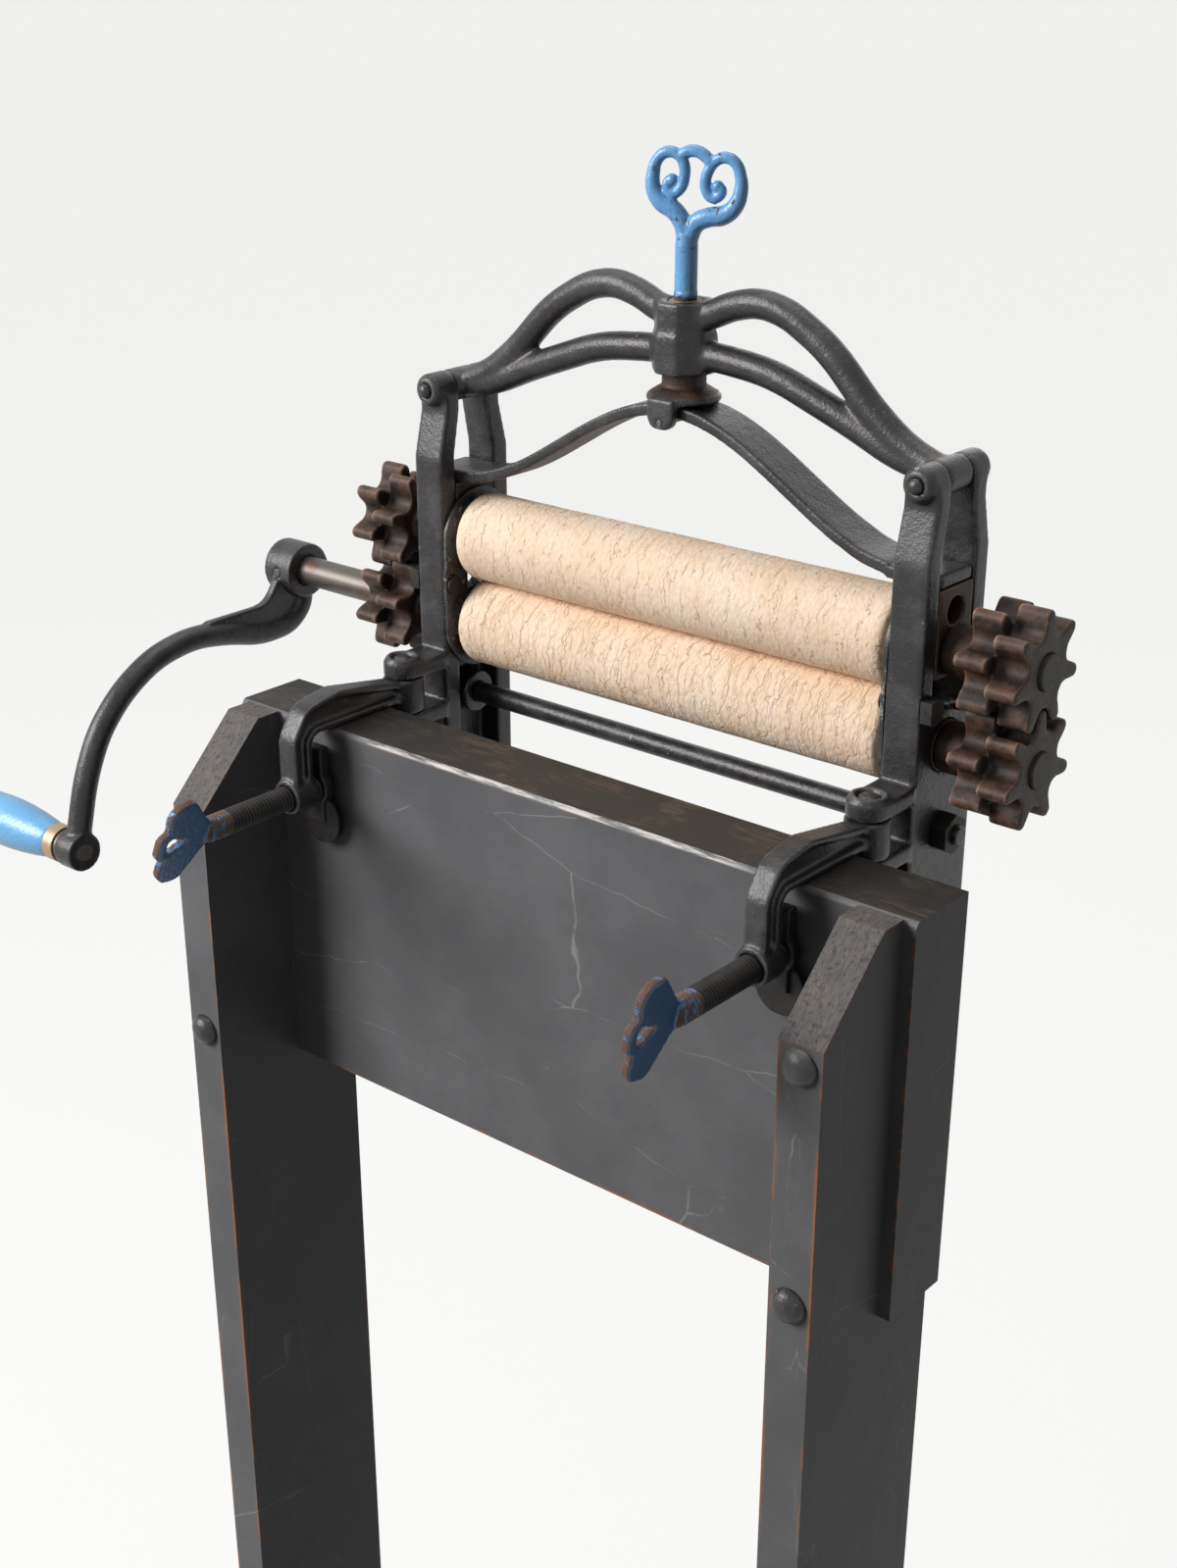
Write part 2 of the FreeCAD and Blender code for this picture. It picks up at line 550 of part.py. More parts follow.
def stand():
    """Two legs let into sled feet, the cross board in their rear notches and a lower stretcher."""
    leg_corners = [
        (leg_front, d.foot_height),
        (leg_front, d.board_top - d.chamfer_drop),
        (leg_front + d.chamfer_run, d.board_top),
        (board_front, d.board_top),
        (board_front, board_bottom),
        (board_back, board_bottom),
        (board_back, d.foot_height),
        (d.tenon_width / 2, d.foot_height),
        (d.tenon_width / 2, d.foot_height - d.tenon_length),
        (-d.tenon_width / 2, d.foot_height - d.tenon_length),
        (-d.tenon_width / 2, d.foot_height),
    ]
    half = d.foot_length / 2
    foot_corners = [
        (-half, 0),
        (d.foot_pad - half, 0),
        (d.foot_pad - half + d.foot_relief, d.foot_relief),
        (half - d.foot_pad - d.foot_relief, d.foot_relief),
        (half - d.foot_pad, 0),
        (half, 0),
        (half, d.foot_toe),
        (d.foot_shoulder / 2, d.foot_height),
        (-d.foot_shoulder / 2, d.foot_height),
        (-half, d.foot_toe),
    ]
    bolt_hole = d.bolt_dia + d.bolt_play
    screw_hole = d.rail_screw_dia + d.bolt_play
    peg_z = d.foot_height - d.tenon_length / 2
    rail_mid = d.rail_bottom + d.rail_height / 2
    screw_rows = [rail_mid - d.rail_screw_spacing / 2, rail_mid + d.rail_screw_spacing / 2]
    bolt_rows = [d.board_top - d.bolt_upper_drop, d.board_top - d.bolt_lower_drop]
    board_holes = []
    rail_holes = []
    pegs = []
    screws = []
    bolts = []
    washers = []
    nuts = []
    for name, side in SIDES.items():
        leg_x = mid + side * leg_mid
        head_axis = "X" if side > 0 else "-X"
        leg_holes = [cylinder(bolt_hole, d.leg_depth, (leg_x, leg_front, high), "Y") for high in bolt_rows]
        outside = mid + side * leg_out
        for high in screw_rows:
            inward = "-X" if side > 0 else "X"
            leg_holes.append(cylinder(screw_hole, d.leg_thickness, (outside, 0, high), inward))
            rail_holes.append(cylinder(screw_hole, d.rail_screw_length, (outside, 0, high), inward))
            screws.append(bolt(d.rail_screw_head, d.rail_screw_dome, d.rail_screw_dia,
                               d.rail_screw_length, (outside, 0, high), head_axis))
        peg_start = (leg_x - d.foot_width / 2, 0, peg_z)
        leg_holes.append(cylinder(d.peg_dia, d.foot_width, peg_start, "X"))
        leg = sawn("YZ_Plane", leg_corners, d.leg_thickness, (leg_x, 0, 0))
        keep(cut(leg, leg_holes), f"{name}_leg")
        foot = sawn("YZ_Plane", foot_corners, d.foot_width, (leg_x, 0, 0))
        mortise = box(
            (
                leg_x - d.leg_thickness / 2 - d.tenon_play,
                -d.tenon_width / 2 - d.tenon_play,
                d.foot_height - d.tenon_length - d.tenon_play,
            ),
            (
                d.leg_thickness + 2 * d.tenon_play,
                d.tenon_width + 2 * d.tenon_play,
                d.tenon_length + d.tenon_play,
            ),
        )
        peg_hole = cylinder(d.peg_dia, d.foot_width, peg_start, "X")
        keep(cut(foot, [mortise, peg_hole]), f"{name}_foot")
        pegs.append(cylinder(d.peg_dia, d.foot_width, peg_start, "X"))
        for high in bolt_rows:
            board_holes.append(cylinder(bolt_hole, d.board_thickness, (leg_x, board_front, high), "Y"))
            tail = d.leg_depth + d.washer_thickness + d.nut_height + d.bolt_tail
            bolts.append(bolt(d.bolt_head, d.bolt_dome, d.bolt_dia, tail, (leg_x, leg_front, high), "-Y"))
            ring = [
                (bolt_hole / 2, 0),
                (d.washer_dia / 2, 0),
                (d.washer_dia / 2, d.washer_thickness),
                (bolt_hole / 2, d.washer_thickness),
            ]
            washers.append(turned(ring, (leg_x, board_back, high), "Y"))
            nut_place = (leg_x, board_back + d.washer_thickness, high)
            nuts.append(hexagon(d.nut_width, d.nut_height, d.bolt_dia, nut_place, "Y"))
    board = box(
        (mid - d.board_length / 2, board_front, board_bottom),
        (d.board_length, d.board_thickness, d.board_height),
    )
    keep(cut(board, board_holes), "cross_board")
    rail = box(
        (mid - leg_in, -d.rail_thickness / 2, d.rail_bottom),
        (2 * leg_in, d.rail_thickness, d.rail_height),
    )
    keep(cut(rail, rail_holes), "lower_stretcher")
    keep(group(pegs), "foot_pegs")
    keep(group(screws), "stretcher_screws")
    keep(group(bolts), "carriage_bolts")
    keep(group(washers), "bolt_washers")
    keep(group(nuts), "bolt_nuts")


def prong(way):
    """One prong of a fork: straight beside the slot, then drawn in to its eyelet."""
    corners = [
        (fork_half, -d.tail_drop, 0),
        (fork_half, d.bow_start, d.bow_radius),
        (d.neck_depth / 2, d.bow_end, d.bow_radius),
        (d.neck_depth / 2, d.pin_rise, 0),
        (eyelet_in, d.pin_rise, 0),
        (eyelet_in, d.bow_end, d.bow_radius),
        (slot_half, d.bow_start, d.bow_radius),
        (slot_half, -d.tail_drop, 0),
    ]
    face = rounded_face([(point(frame_in, way * deep, high), radius) for deep, high, radius in corners])
    return face.extrude(DIRECTIONS["X"] * float(d.prong_width))


def lug(high):
    """A clamp lug from the fork's front face to its rounded end."""
    arm = block((frame_mid - d.lug_dia / 2, frame_mid + d.lug_dia / 2), (-d.pivot_forward, -fork_half),
                (high, high + d.lug_thickness))
    tie = block((frame_in, frame_out), (-fork_half, -slot_half), (high, high + d.lug_thickness))
    end = round_bar(d.lug_dia, point(frame_mid, -d.pivot_forward, high), "Z", d.lug_thickness)
    return arm.fuse([tie, end])


def side_frame():
    """The right side frame: a fork for the bearings, a web below and lugs for a clamp."""
    web = block((frame_out - d.web_thickness, frame_out), (-fork_half, fork_half), (-d.tail_drop, d.web_rise))
    foot = block((frame_in, frame_out), (-fork_half, fork_half), (-d.tail_drop, d.tail_rib - d.tail_drop))
    pad = block((frame_in, frame_out), (back_face, -slot_half), (-d.tail_drop, d.pad_height - d.tail_drop))
    bush_boss = round_bar(d.bearing_boss_dia, point(frame_in, 0, 0), "X", d.prong_width)
    rod_boss = round_bar(d.rod_boss_dia, point(frame_in, 0, -d.rod_drop), "X", d.prong_width)
    collar = round_bar(d.lug_collar_dia, point(frame_mid, -d.pivot_forward, lug_top), "Z", d.lug_collar)
    solids = [prong(-1), web, foot, pad, bush_boss, rod_boss, lug(lug_under), lug(lug_bottom), collar]
    eyelet_length = d.eyelet_depth / 2 - eyelet_in
    pin_half = d.eyelet_depth / 2 + d.ring_height
    for axis, way in (("-Y", -1), ("Y", 1)):
        start = point(frame_mid, way * eyelet_in, d.pin_rise)
        solids.append(round_bar(d.eyelet_dia, start, axis, eyelet_length))
        solids.append(round_bar(d.eyelet_ring, start, axis, eyelet_length + d.ring_height))
    holes = [
        round_bar(d.bush_dia, point(frame_in, 0, 0), "X", d.prong_width),
        round_bar(d.rod_end_dia + d.bolt_play, point(frame_in, 0, -d.rod_drop), "X", d.prong_width),
        round_bar(d.pivot_dia, point(frame_mid, -d.pivot_forward, lug_bottom), "Z", lug_top - lug_bottom),
        round_bar(d.lug_recess, point(frame_mid, -d.pivot_forward, lug_top), "Z", d.lug_collar),
        round_bar(d.top_pin_dia, point(frame_mid, -pin_half, d.pin_rise), "Y", 2 * pin_half),
    ]
    for way in (-1, 1):
        start = point(frame_in, way * guard_bolt_y, upper / 2)
        holes.append(round_bar(d.guard_bolt_dia + d.bolt_play, start, "X", d.prong_width))
    return prong(1).fuse(solids).cut(holes)


def side_frames():
    casting("right_side_frame", side_frame())
    casting("left_side_frame", mirrored(side_frame()))


def top_bar():
    """The trussed bar over the spring: a low limb, an arch and the boss of the pressure screw."""
    lower_line = [(1, 0), (0.83, 0.12), (0.66, 0.43), (0.35, 0.91), (0.14, 1)]
    arch_line = [(1, 0), (0.85, 0.13), (0.72, 0.36), (0.56, 0.74), (0.4, 0.95), (0.29, 1)]
    arch_line += [(0.18, 0.94), (0.1, 0.85)]
    solids = []
    for way in (-1, 1):
        for line, rise, middle in ((lower_line, d.bar_rise, 1), (arch_line, d.arch_rise, 0.83)):
            spots = [point(way * share * frame_mid, 0, d.pin_rise + height * rise) for share, height in line]
            spots.append(point(0, 0, d.pin_rise + middle * rise))
            solids.append(bent_bar(spots, d.bar_dia))
        boss_start = point(way * frame_mid, -d.bar_boss_length / 2, d.pin_rise)
        solids.append(round_bar(d.bar_boss_dia, boss_start, "Y", d.bar_boss_length))
    solids.append(eight_sided_bar(d.hub_width, hub_bottom, d.hub_step - d.hub_bottom))
    hub = eight_sided_bar(d.collar_width, hub_bottom, d.hub_top - d.hub_bottom)
    neck_room = neck_top + d.press_travel + d.saddle_play - hub_bottom
    holes = [
        round_bar(d.press_dia + 2 * d.running_play, point(0, 0, hub_bottom), "Z", d.arch_rise),
        round_bar(d.saddle_neck_dia + 2 * d.running_play, point(0, 0, hub_bottom), "Z", neck_room),
    ]
    for way in (-1, 1):
        boss_start = point(way * frame_mid, -d.bar_boss_length / 2, d.pin_rise)
        holes.append(round_bar(d.top_pin_dia, boss_start, "Y", d.bar_boss_length))
    casting("top_bar", hub.fuse(solids).cut(holes))


def frame_fittings():
    """Pins, rod, bushes and end guards that hold the two side frames together."""
    pins = []
    clamp_pins = []
    bushes = []
    nuts = []
    guard_bolts = []
    pin_length = d.eyelet_depth + 2 * d.ring_height
    clamp_pin = lug_top - lug_bottom
    rod_half = frame_out + d.rod_nut_height + d.rod_tail
    for name, side in SIDES.items():
        outward = "X" if side > 0 else "-X"
        frame_x = mid + side * frame_mid
        pins.append(rivet(d.top_pin_dia, pin_length, d.pin_dome, (frame_x, roll_y, low_z + d.pin_rise), "Y"))
        pivot = (frame_x, roll_y - d.pivot_forward, low_z + (lug_top + lug_bottom) / 2)
        clamp_pins.append(rivet(d.pivot_dia, clamp_pin, d.pin_dome, pivot, "Z"))
        bore = d.shaft_dia / 2 + d.running_play
        bush = [(bore, 0), (d.bush_dia / 2, 0), (d.bush_dia / 2, d.prong_width), (bore, d.prong_width)]
        keep(turned(bush, (mid + side * frame_in, roll_y, low_z), outward), f"{name}_lower_bush")
        nut_place = (mid + side * frame_out, roll_y, low_z - d.rod_drop)
        nuts.append(hexagon(d.rod_nut_width, d.rod_nut_height, d.rod_end_dia, nut_place, outward))
        for way in (-1, 1):
            spot = (roll_y + way * guard_bolt_y, low_z + upper / 2)
            inner = mid + side * (frame_in - d.guard_thickness - d.guard_rivet)
            shank = d.guard_rivet + d.guard_thickness + d.prong_width
            flat = cylinder(d.guard_head, d.guard_rivet, (inner, *spot), outward)
            body = cylinder(d.guard_bolt_dia, shank, (inner, *spot), outward)
            head_mid = mid + side * (frame_out + d.guard_head_height / 2)
            head_low = (
                head_mid - d.guard_head_height / 2,
                spot[0] - d.guard_head / 2,
                spot[1] - d.guard_head / 2,
            )
            head = box(head_low, (d.guard_head_height, d.guard_head, d.guard_head))
            guard_bolts.append(fuse([flat, body, head]))
    rod = [
        (0, -rod_half),
        (d.rod_end_dia / 2, -rod_half),
        (d.rod_end_dia / 2, -frame_in),
        (d.rod_dia / 2, -frame_in),
        (d.rod_dia / 2, frame_in),
        (d.rod_end_dia / 2, frame_in),
        (d.rod_end_dia / 2, rod_half),
        (0, rod_half),
    ]
    keep(turned(rod, (mid, roll_y, low_z - d.rod_drop), "X"), "stretcher_rod")
    keep(group(nuts), "stretcher_nuts")
    keep(group(pins), "top_bar_pins")
    keep(group(clamp_pins), "clamp_pins")
    keep(group(guard_bolts), "guard_bolts")
    end_guards()


def end_guards():
    """Thin plates beside the roll ends, slotted so that the upper shaft can lift."""
    start = frame_in - d.guard_thickness
    discs = [round_bar(d.guard_dia, point(start, 0, high), "X", d.guard_thickness) for high in (0, upper)]
    waist = block((start, frame_in), (-d.guard_dia / 2, d.guard_dia / 2), (0, upper))
    ears = block((start, frame_in), (-fork_half, fork_half),
                 ((upper - d.guard_ear) / 2, (upper + d.guard_ear) / 2))
    slot_dia = d.shaft_dia + 2 * d.guard_slot_play
    top = upper + d.lift
    slot = [round_bar(slot_dia, point(start, 0, high), "X", d.guard_thickness) for high in (0, top)]
    slot.append(block((start, frame_in), (-slot_dia / 2, slot_dia / 2), (0, top)))
    for way in (-1, 1):
        spot = point(start, way * guard_bolt_y, upper / 2)
        slot.append(round_bar(d.guard_bolt_dia, spot, "X", d.guard_thickness))
    plate = ears.fuse(discs + [waist]).cut(slot)
    casting("right_end_guard", plate)
    casting("left_end_guard", mirrored(plate))


def rolls():
    """Two steel shafts with rubber rolls, and the bearing blocks that slide in the forks."""
    half = d.roller_length / 2
    inner = d.shaft_dia / 2
    edge = d.roller_dia / 2
    rubber = [
        (inner, -half),
        (edge - d.roller_bevel, -half),
        (edge, d.roller_bevel - half),
        (edge, half - d.roller_bevel),
        (edge - d.roller_bevel, half),
        (inner, half),
    ]
    right_end = gear_end + d.shaft_proud
    ends = {"lower": (low_z, crank_far + d.shaft_proud), "upper": (low_z + upper, right_end)}
    for name, (high, left_end) in ends.items():
        shaft = [(0, -left_end), (inner, -left_end), (inner, right_end), (0, right_end)]
        keep(turned(rubber, (mid, roll_y, high), "X"), f"{name}_roll_rubber")
        steel = turned(shaft, (mid, roll_y, high), "X")
        if name == "lower":
            steel = cut(steel, [cylinder(d.cross_pin_dia, d.crank_hub_dia, cross_pin_place, "Y")])
        keep(steel, f"{name}_roll_shaft")
    depth = slot_half - d.block_play
    bottom = upper - d.block_drop
    top = d.seat_rise - d.seat_play
    for name, side in SIDES.items():
        low = (mid + side * frame_mid - d.prong_width / 2, roll_y - depth, low_z + bottom)
        base = box(low, (d.prong_width, 2 * depth, top - bottom))
        bore = d.shaft_dia + 2 * d.running_play
        spot = (low[0], roll_y, low_z + upper)
        eye = (low[0], roll_y, low_z + upper + d.block_eye_rise)
        holes = [cylinder(bore, d.prong_width, spot, "X"), cylinder(d.block_eye, d.prong_width, eye, "X")]
        keep(cut(base, holes), f"{name}_bearing_block")


def pressure_gear():
    """The bow spring over the bearing blocks, the saddle on its crown and the scroll-keyed screw."""
    end = frame_mid + d.leaf_end / 2
    start = frame_mid - d.leaf_end / 2
    steps = 12
    wave = []
    for step in range(-steps, steps + 1):
        share = step / steps
        high = d.seat_rise + d.leaf_rise * (1 + math.cos(math.pi * share)) / 2
        wave.append(point(start * share, -d.leaf_width / 2, high))
    edges = []
    rise = UP * float(d.leaf_thickness)
    ends = [point(-end, -d.leaf_width / 2, d.seat_rise), point(end, -d.leaf_width / 2, d.seat_rise)]
    level = DIRECTIONS["X"]
    for lift in (FreeCAD.Vector(), rise):
        curve = Part.BSplineCurve()
        curve.interpolate([spot + lift for spot in wave], InitialTangent=level, FinalTangent=level)
        edges.append(curve.toShape())
        edges.append(Part.LineSegment(ends[0] + lift, wave[0] + lift).toShape())
        edges.append(Part.LineSegment(wave[-1] + lift, ends[1] + lift).toShape())
    edges += [Part.LineSegment(spot, spot + rise).toShape() for spot in ends]
    outline = Part.Face(Part.Wire(Part.__sortEdges__(edges)))
    casting("bow_spring", outline.extrude(DIRECTIONS["Y"] * float(d.leaf_width)))

    flange = round_bar(d.saddle_dia, point(0, 0, flange_bottom), "Z", d.saddle_rim)
    flare = Part.makeCone(float(d.saddle_dia) / 2, float(d.saddle_neck_dia) / 2,
                          float(d.saddle_flange - d.saddle_rim), point(0, 0, flange_bottom + d.saddle_rim))
    neck = round_bar(d.saddle_neck_dia, point(0, 0, flange_top), "Z", d.saddle_neck)
    ear_in = d.leaf_width / 2 + d.ear_play
    ear_out = ear_in + d.ear_thickness
    pin_z = d.seat_rise + d.leaf_rise - d.saddle_pin_dia / 2 - d.saddle_play
    ears = []
    ear_top = flange_bottom + d.saddle_rim
    ear_bottom = flange_bottom - d.ear_drop
    for near in (-ear_out, ear_in):
        corners = []
        for way in (-1, 1):
            across = way * d.ear_width / 2
            side = [(point(across, near, ear_top), 0), (point(across, near, ear_bottom), d.ear_corner)]
            corners += side if way < 0 else reversed(side)
        ears.append(rounded_face(corners).extrude(DIRECTIONS["Y"] * float(d.ear_thickness)))
    socket_dia = d.press_tip_dia + 2 * d.running_play
    socket = round_bar(socket_dia, point(0, 0, neck_top - d.press_tip), "Z", d.press_tip)
    pin_hole = round_bar(d.saddle_pin_dia, point(0, -ear_out, pin_z), "Y", 2 * ear_out)
    casting("saddle", flange.fuse([flare, neck] + ears).cut([socket, pin_hole]))
    pin = cylinder(d.saddle_pin_dia, 2 * ear_out, (mid, roll_y - ear_out, low_z + pin_z), "Y")
    keep(pin, "saddle_pin")

    shoulder = neck_top + d.saddle_play
    screw = round_bar(d.press_dia, point(0, 0, shoulder), "Z", hub_top - shoulder)
    tip = round_bar(d.press_tip_dia, point(0, 0, shoulder - d.press_tip), "Z", d.press_tip)
    stem = round_bar(d.stem_dia, point(0, 0, hub_top), "Z", d.stem_height)
    key = [strand.rotated(FreeCAD.Vector(), UP, KEY_TURN) for strand in scroll_key()]
    casting("pressure_screw", stem.fuse([screw, tip] + key))


def scroll_key():
    """Two strands that part above the stem and curl inwards, tied by a small arch on top."""
    half = (d.key_width - d.strand_dia) / 2
    tall = d.key_height - d.strand_dia / 2
    line = [(0, -0.2), (0.1, 0.18), (0.55, 0.36), (0.97, 0.46)]
    line += [(1, 0.9), (0.62, 1), (0.16, 0.88), (0.14, 0.5)]
    strands = []
    for way in (-1, 1):
        spots = [point(way * share * half, 0, stem_top + height * tall) for share, height in line]
        strands.append(bent_bar(spots, d.strand_dia))
        strands.append(Part.makeSphere(float(d.strand_dia) / 2, spots[-1]))
    tie = [(-0.4, 0.96), (-0.2, 0.97), (0, 0.93), (0.2, 0.97), (0.4, 0.96)]
    spots = [point(share * half, 0, stem_top + height * tall) for share, height in tie]
    return strands + [bent_bar(spots, d.strand_dia)]


def tooth_row(start, high, turn):
    """One row of round-tipped teeth with round gaps on a shaft; turn is the first tooth's angle."""
    half_pitch = math.pi / TOOTH_COUNT
    corners = []
    for index in range(TOOTH_COUNT):
        angle = turn + 2 * half_pitch * index
        across = FreeCAD.Vector(0, -math.sin(angle), math.cos(angle))
        outward = FreeCAD.Vector(0, math.cos(angle), math.sin(angle))
        tip = float(d.tip_radius - d.tooth_tip / 2)
        corners.append(outward * float(d.foot_radius) - across * float(d.tooth_root / 2))
        corners.append(outward * tip - across * float(d.tooth_tip / 2))
        corners.append(outward * float(d.tip_radius))
        corners.append(outward * tip + across * float(d.tooth_tip / 2))
        corners.append(outward * float(d.foot_radius) + across * float(d.tooth_root / 2))
        gap = angle + half_pitch
        corners.append(FreeCAD.Vector(0, math.cos(gap), math.sin(gap)) * float(d.root_radius))
    edges = []
    for index in range(0, len(corners), 6):
        root, first, crest, last, foot, gap = corners[index:index + 6]
        edges.append(Part.LineSegment(root, first).toShape())
        edges.append(Part.Arc(first, crest, last).toShape())
        edges.append(Part.LineSegment(last, foot).toShape())
        edges.append(Part.Arc(foot, gap, corners[(index + 6) % len(corners)]).toShape())
    row = Part.Face(Part.Wire(edges)).extrude(DIRECTIONS["X"] * float(d.gear_row))
    return row.translated(point(start, 0, high))


def gears():
    """Two rows of teeth a half pitch apart at each shaft end, the pairs in mesh at rest."""
    half_pitch = math.pi / TOOTH_COUNT
    down = -math.pi / 2
    up = math.pi / 2
    for name, high, first in (("upper", upper, down), ("lower", 0, up + half_pitch)):
        hub = round_bar(d.gear_hub_dia, point(gear_start, 0, high), "X", d.gear_hub)
        inner_row = tooth_row(teeth_start, high, first)
        outer_row = tooth_row(teeth_start + d.gear_row, high, first + half_pitch)
        bore = round_bar(d.shaft_dia, point(gear_start, 0, high), "X", gear_end - gear_start)
        gear = hub.fuse([inner_row, outer_row]).cut(bore)
        casting(f"right_{name}_gear", gear)
        casting(f"left_{name}_gear", mirrored(gear))


def crank():
    """The swan-necked crank on the lower shaft, webbed by its hub, with its turning wooden handle."""
    line = [(0, 0), (-0.02, 0.17), (0.05, 0.26), (0.18, 0.27), (0.32, 0.215), (0.47, 0.184), (0.63, 0.222),
            (0.765, 0.33), (0.87, 0.48), (0.94, 0.68), (1, 1)]
    spots = [point(-crank_mid, -share * d.crank_reach, -fall * d.crank_fall) for share, fall in line]
    throat = [(0.4, 0.13, 0), (0.15, 0.13, 0.085), (0.1, 0.03, 0)]
    corners = [(spot, 0) for spot in spots[:6]]
    for share, fall, bend in throat:
        spot = point(-crank_mid, -share * d.crank_reach, -fall * d.crank_fall)
        corners.append((spot, bend * float(d.crank_reach)))
    web = rounded_face(corners).extrude(DIRECTIONS["X"] * float(d.crank_web))
    web.translate(DIRECTIONS["X"] * -float(d.crank_web / 2))
    hub = round_bar(d.crank_hub_dia, point(-crank_far, 0, 0), "X", d.crank_hub)
    end_start = point(-collar_start, -d.crank_reach, -d.crank_fall)
    end = round_bar(d.crank_end_dia, end_start, "X", d.crank_end)
    holes = [
        round_bar(d.shaft_dia, point(-crank_far, 0, 0), "X", d.crank_hub),
        round_bar(d.cross_pin_dia, point(-crank_mid, -d.crank_hub_dia / 2, 0), "Y", d.crank_hub_dia),
        round_bar(d.spindle_dia, end_start, "X", d.crank_end),
    ]
    casting("crank_arm", hub.fuse([bent_bar(spots, d.crank_dia), web, end]).cut(holes))
    keep(cylinder(d.cross_pin_dia, d.crank_hub_dia, cross_pin_place, "Y"), "crank_cross_pin")

    axis_y = roll_y - d.crank_reach
    axis_z = low_z - d.crank_fall
    spindle = [
        (0, -d.crank_end),
        (d.spindle_dia / 2, -d.crank_end),
        (d.spindle_dia / 2, 0),
        (d.spindle_collar_dia / 2, 0),
        (d.spindle_collar_dia / 2, d.spindle_collar),
        (d.spindle_dia / 2, d.spindle_collar),
        (d.spindle_dia / 2, spindle_end - d.spindle_dome - collar_start),
    ]
    spindle += dome(d.spindle_head / 2, d.spindle_dome, spindle_end - d.spindle_dome - collar_start)
    keep(turned(spindle, (mid - collar_start, axis_y, axis_z), "-X"), "handle_spindle")
    bore = d.spindle_dia / 2 + d.running_play
    ferrule = [
        (bore, 0),
        (d.ferrule_dia / 2, 0),
        (d.ferrule_dia / 2, d.ferrule_length),
        (bore, d.ferrule_length),
    ]
    keep(turned(ferrule, (mid - ferrule_start, axis_y, axis_z), "-X"), "handle_ferrule")
    belly = [(0.66, 0), (0.8, 0.1), (0.95, 0.27), (1, 0.43), (0.94, 0.6), (0.85, 0.76), (0.88, 0.88),
             (0.77, 0.96), (0.56, 1)]
    grip = [(d.handle_dia / 2 * swell, d.handle_length * along) for swell, along in belly]
    handle = [(bore, 0)] + grip + [(bore, d.handle_length)]
    keep(turned(handle, (mid - handle_start, axis_y, axis_z), "-X"), "crank_handle")


def clamp_arm():
    """The right clamp arm: a flanged casting over the board, from its barrel to its screw boss."""
    board = -d.roll_rise
    under = board + d.arm_play
    barrel_y = -d.pivot_forward
    nose = front_face - d.arm_overhang
    heel = nose + d.arm_leg
    crest = board + d.arm_crest
    corners = [
        (barrel_y, under, 0),
        (barrel_y, lug_under - d.lug_play, 0),
        (barrel_y - d.lug_dia / 2 - d.arm_play, lug_under - d.lug_play, 0),
        (front_face + d.arm_crest_depth, crest, d.arm_bend),
        (front_face - d.arm_shoulder, crest - d.arm_flange, d.arm_bend),
        (nose, under, d.arm_bend),
        (nose, screw_z, 0),
        (heel, screw_z, 0),
        (heel, under - d.arm_flange, d.arm_flange),
        (heel + d.arm_flange, under, d.arm_flange),
    ]
    face = rounded_face([(point(frame_mid, deep, high), radius) for deep, high, radius in corners])
    side = DIRECTIONS["X"]
    half = float(d.arm_width) / 2
    solid = face.extrude(side * 2 * half).translated(side * -half)
    pocket = face.makeOffset2D(-float(d.arm_flange))
    sunk = float(d.arm_width - d.arm_web) / 2
    hollows = [
        pocket.extrude(side * sunk).translated(side * -half),
        pocket.extrude(side * sunk).translated(side * (half - sunk)),
    ]
    barrel_bottom = lug_floor + d.lug_play
    barrel_top = lug_under - d.lug_play
    barrel_spot = point(frame_mid, barrel_y, barrel_bottom)
    barrel = round_bar(d.barrel_dia, barrel_spot, "Z", barrel_top - barrel_bottom)
    boss_start = nose - d.screw_boss_proud
    boss = round_bar(d.screw_boss_dia, point(frame_mid, boss_start, screw_z), "Y", heel - boss_start)
    bore = d.pivot_dia + 2 * d.running_play
    thread = d.screw_dia + 2 * d.running_play
    holes = [
        round_bar(bore, barrel_spot, "Z", barrel_top - barrel_bottom),
        round_bar(thread, point(frame_mid, boss_start, screw_z), "Y", heel - boss_start),
    ]
    return solid.cut(hollows).fuse([barrel, boss]).cut(holes)


def clamp_jaw():
    """The right jaw: a disc with a domed face, a boss for the screw's tip and a guiding stem."""
    disc_z = screw_z - d.jaw_drop
    back = jaw_face - d.jaw_thickness
    disc = round_bar(d.jaw_dia, point(frame_mid, back, disc_z), "Y", d.jaw_thickness)
    ball = Part.makeSphere(float(d.jaw_dome), point(frame_mid, jaw_face - d.jaw_dome, disc_z))
    middle = back + d.jaw_thickness / 2
    stem = block((frame_mid - d.jaw_stem / 2, frame_mid + d.jaw_stem / 2), (jaw_back, middle),
                 (disc_z, screw_z + d.jaw_stem_rise))
    boss = round_bar(d.jaw_boss_dia, point(frame_mid, jaw_back, screw_z), "Y", middle - jaw_back)
    tip_bore = d.screw_tip_dia + 2 * d.running_play
    socket = round_bar(tip_bore, point(frame_mid, jaw_back, screw_z), "Y", d.screw_tip)
    return disc.common(ball).fuse([stem, boss]).cut(socket)


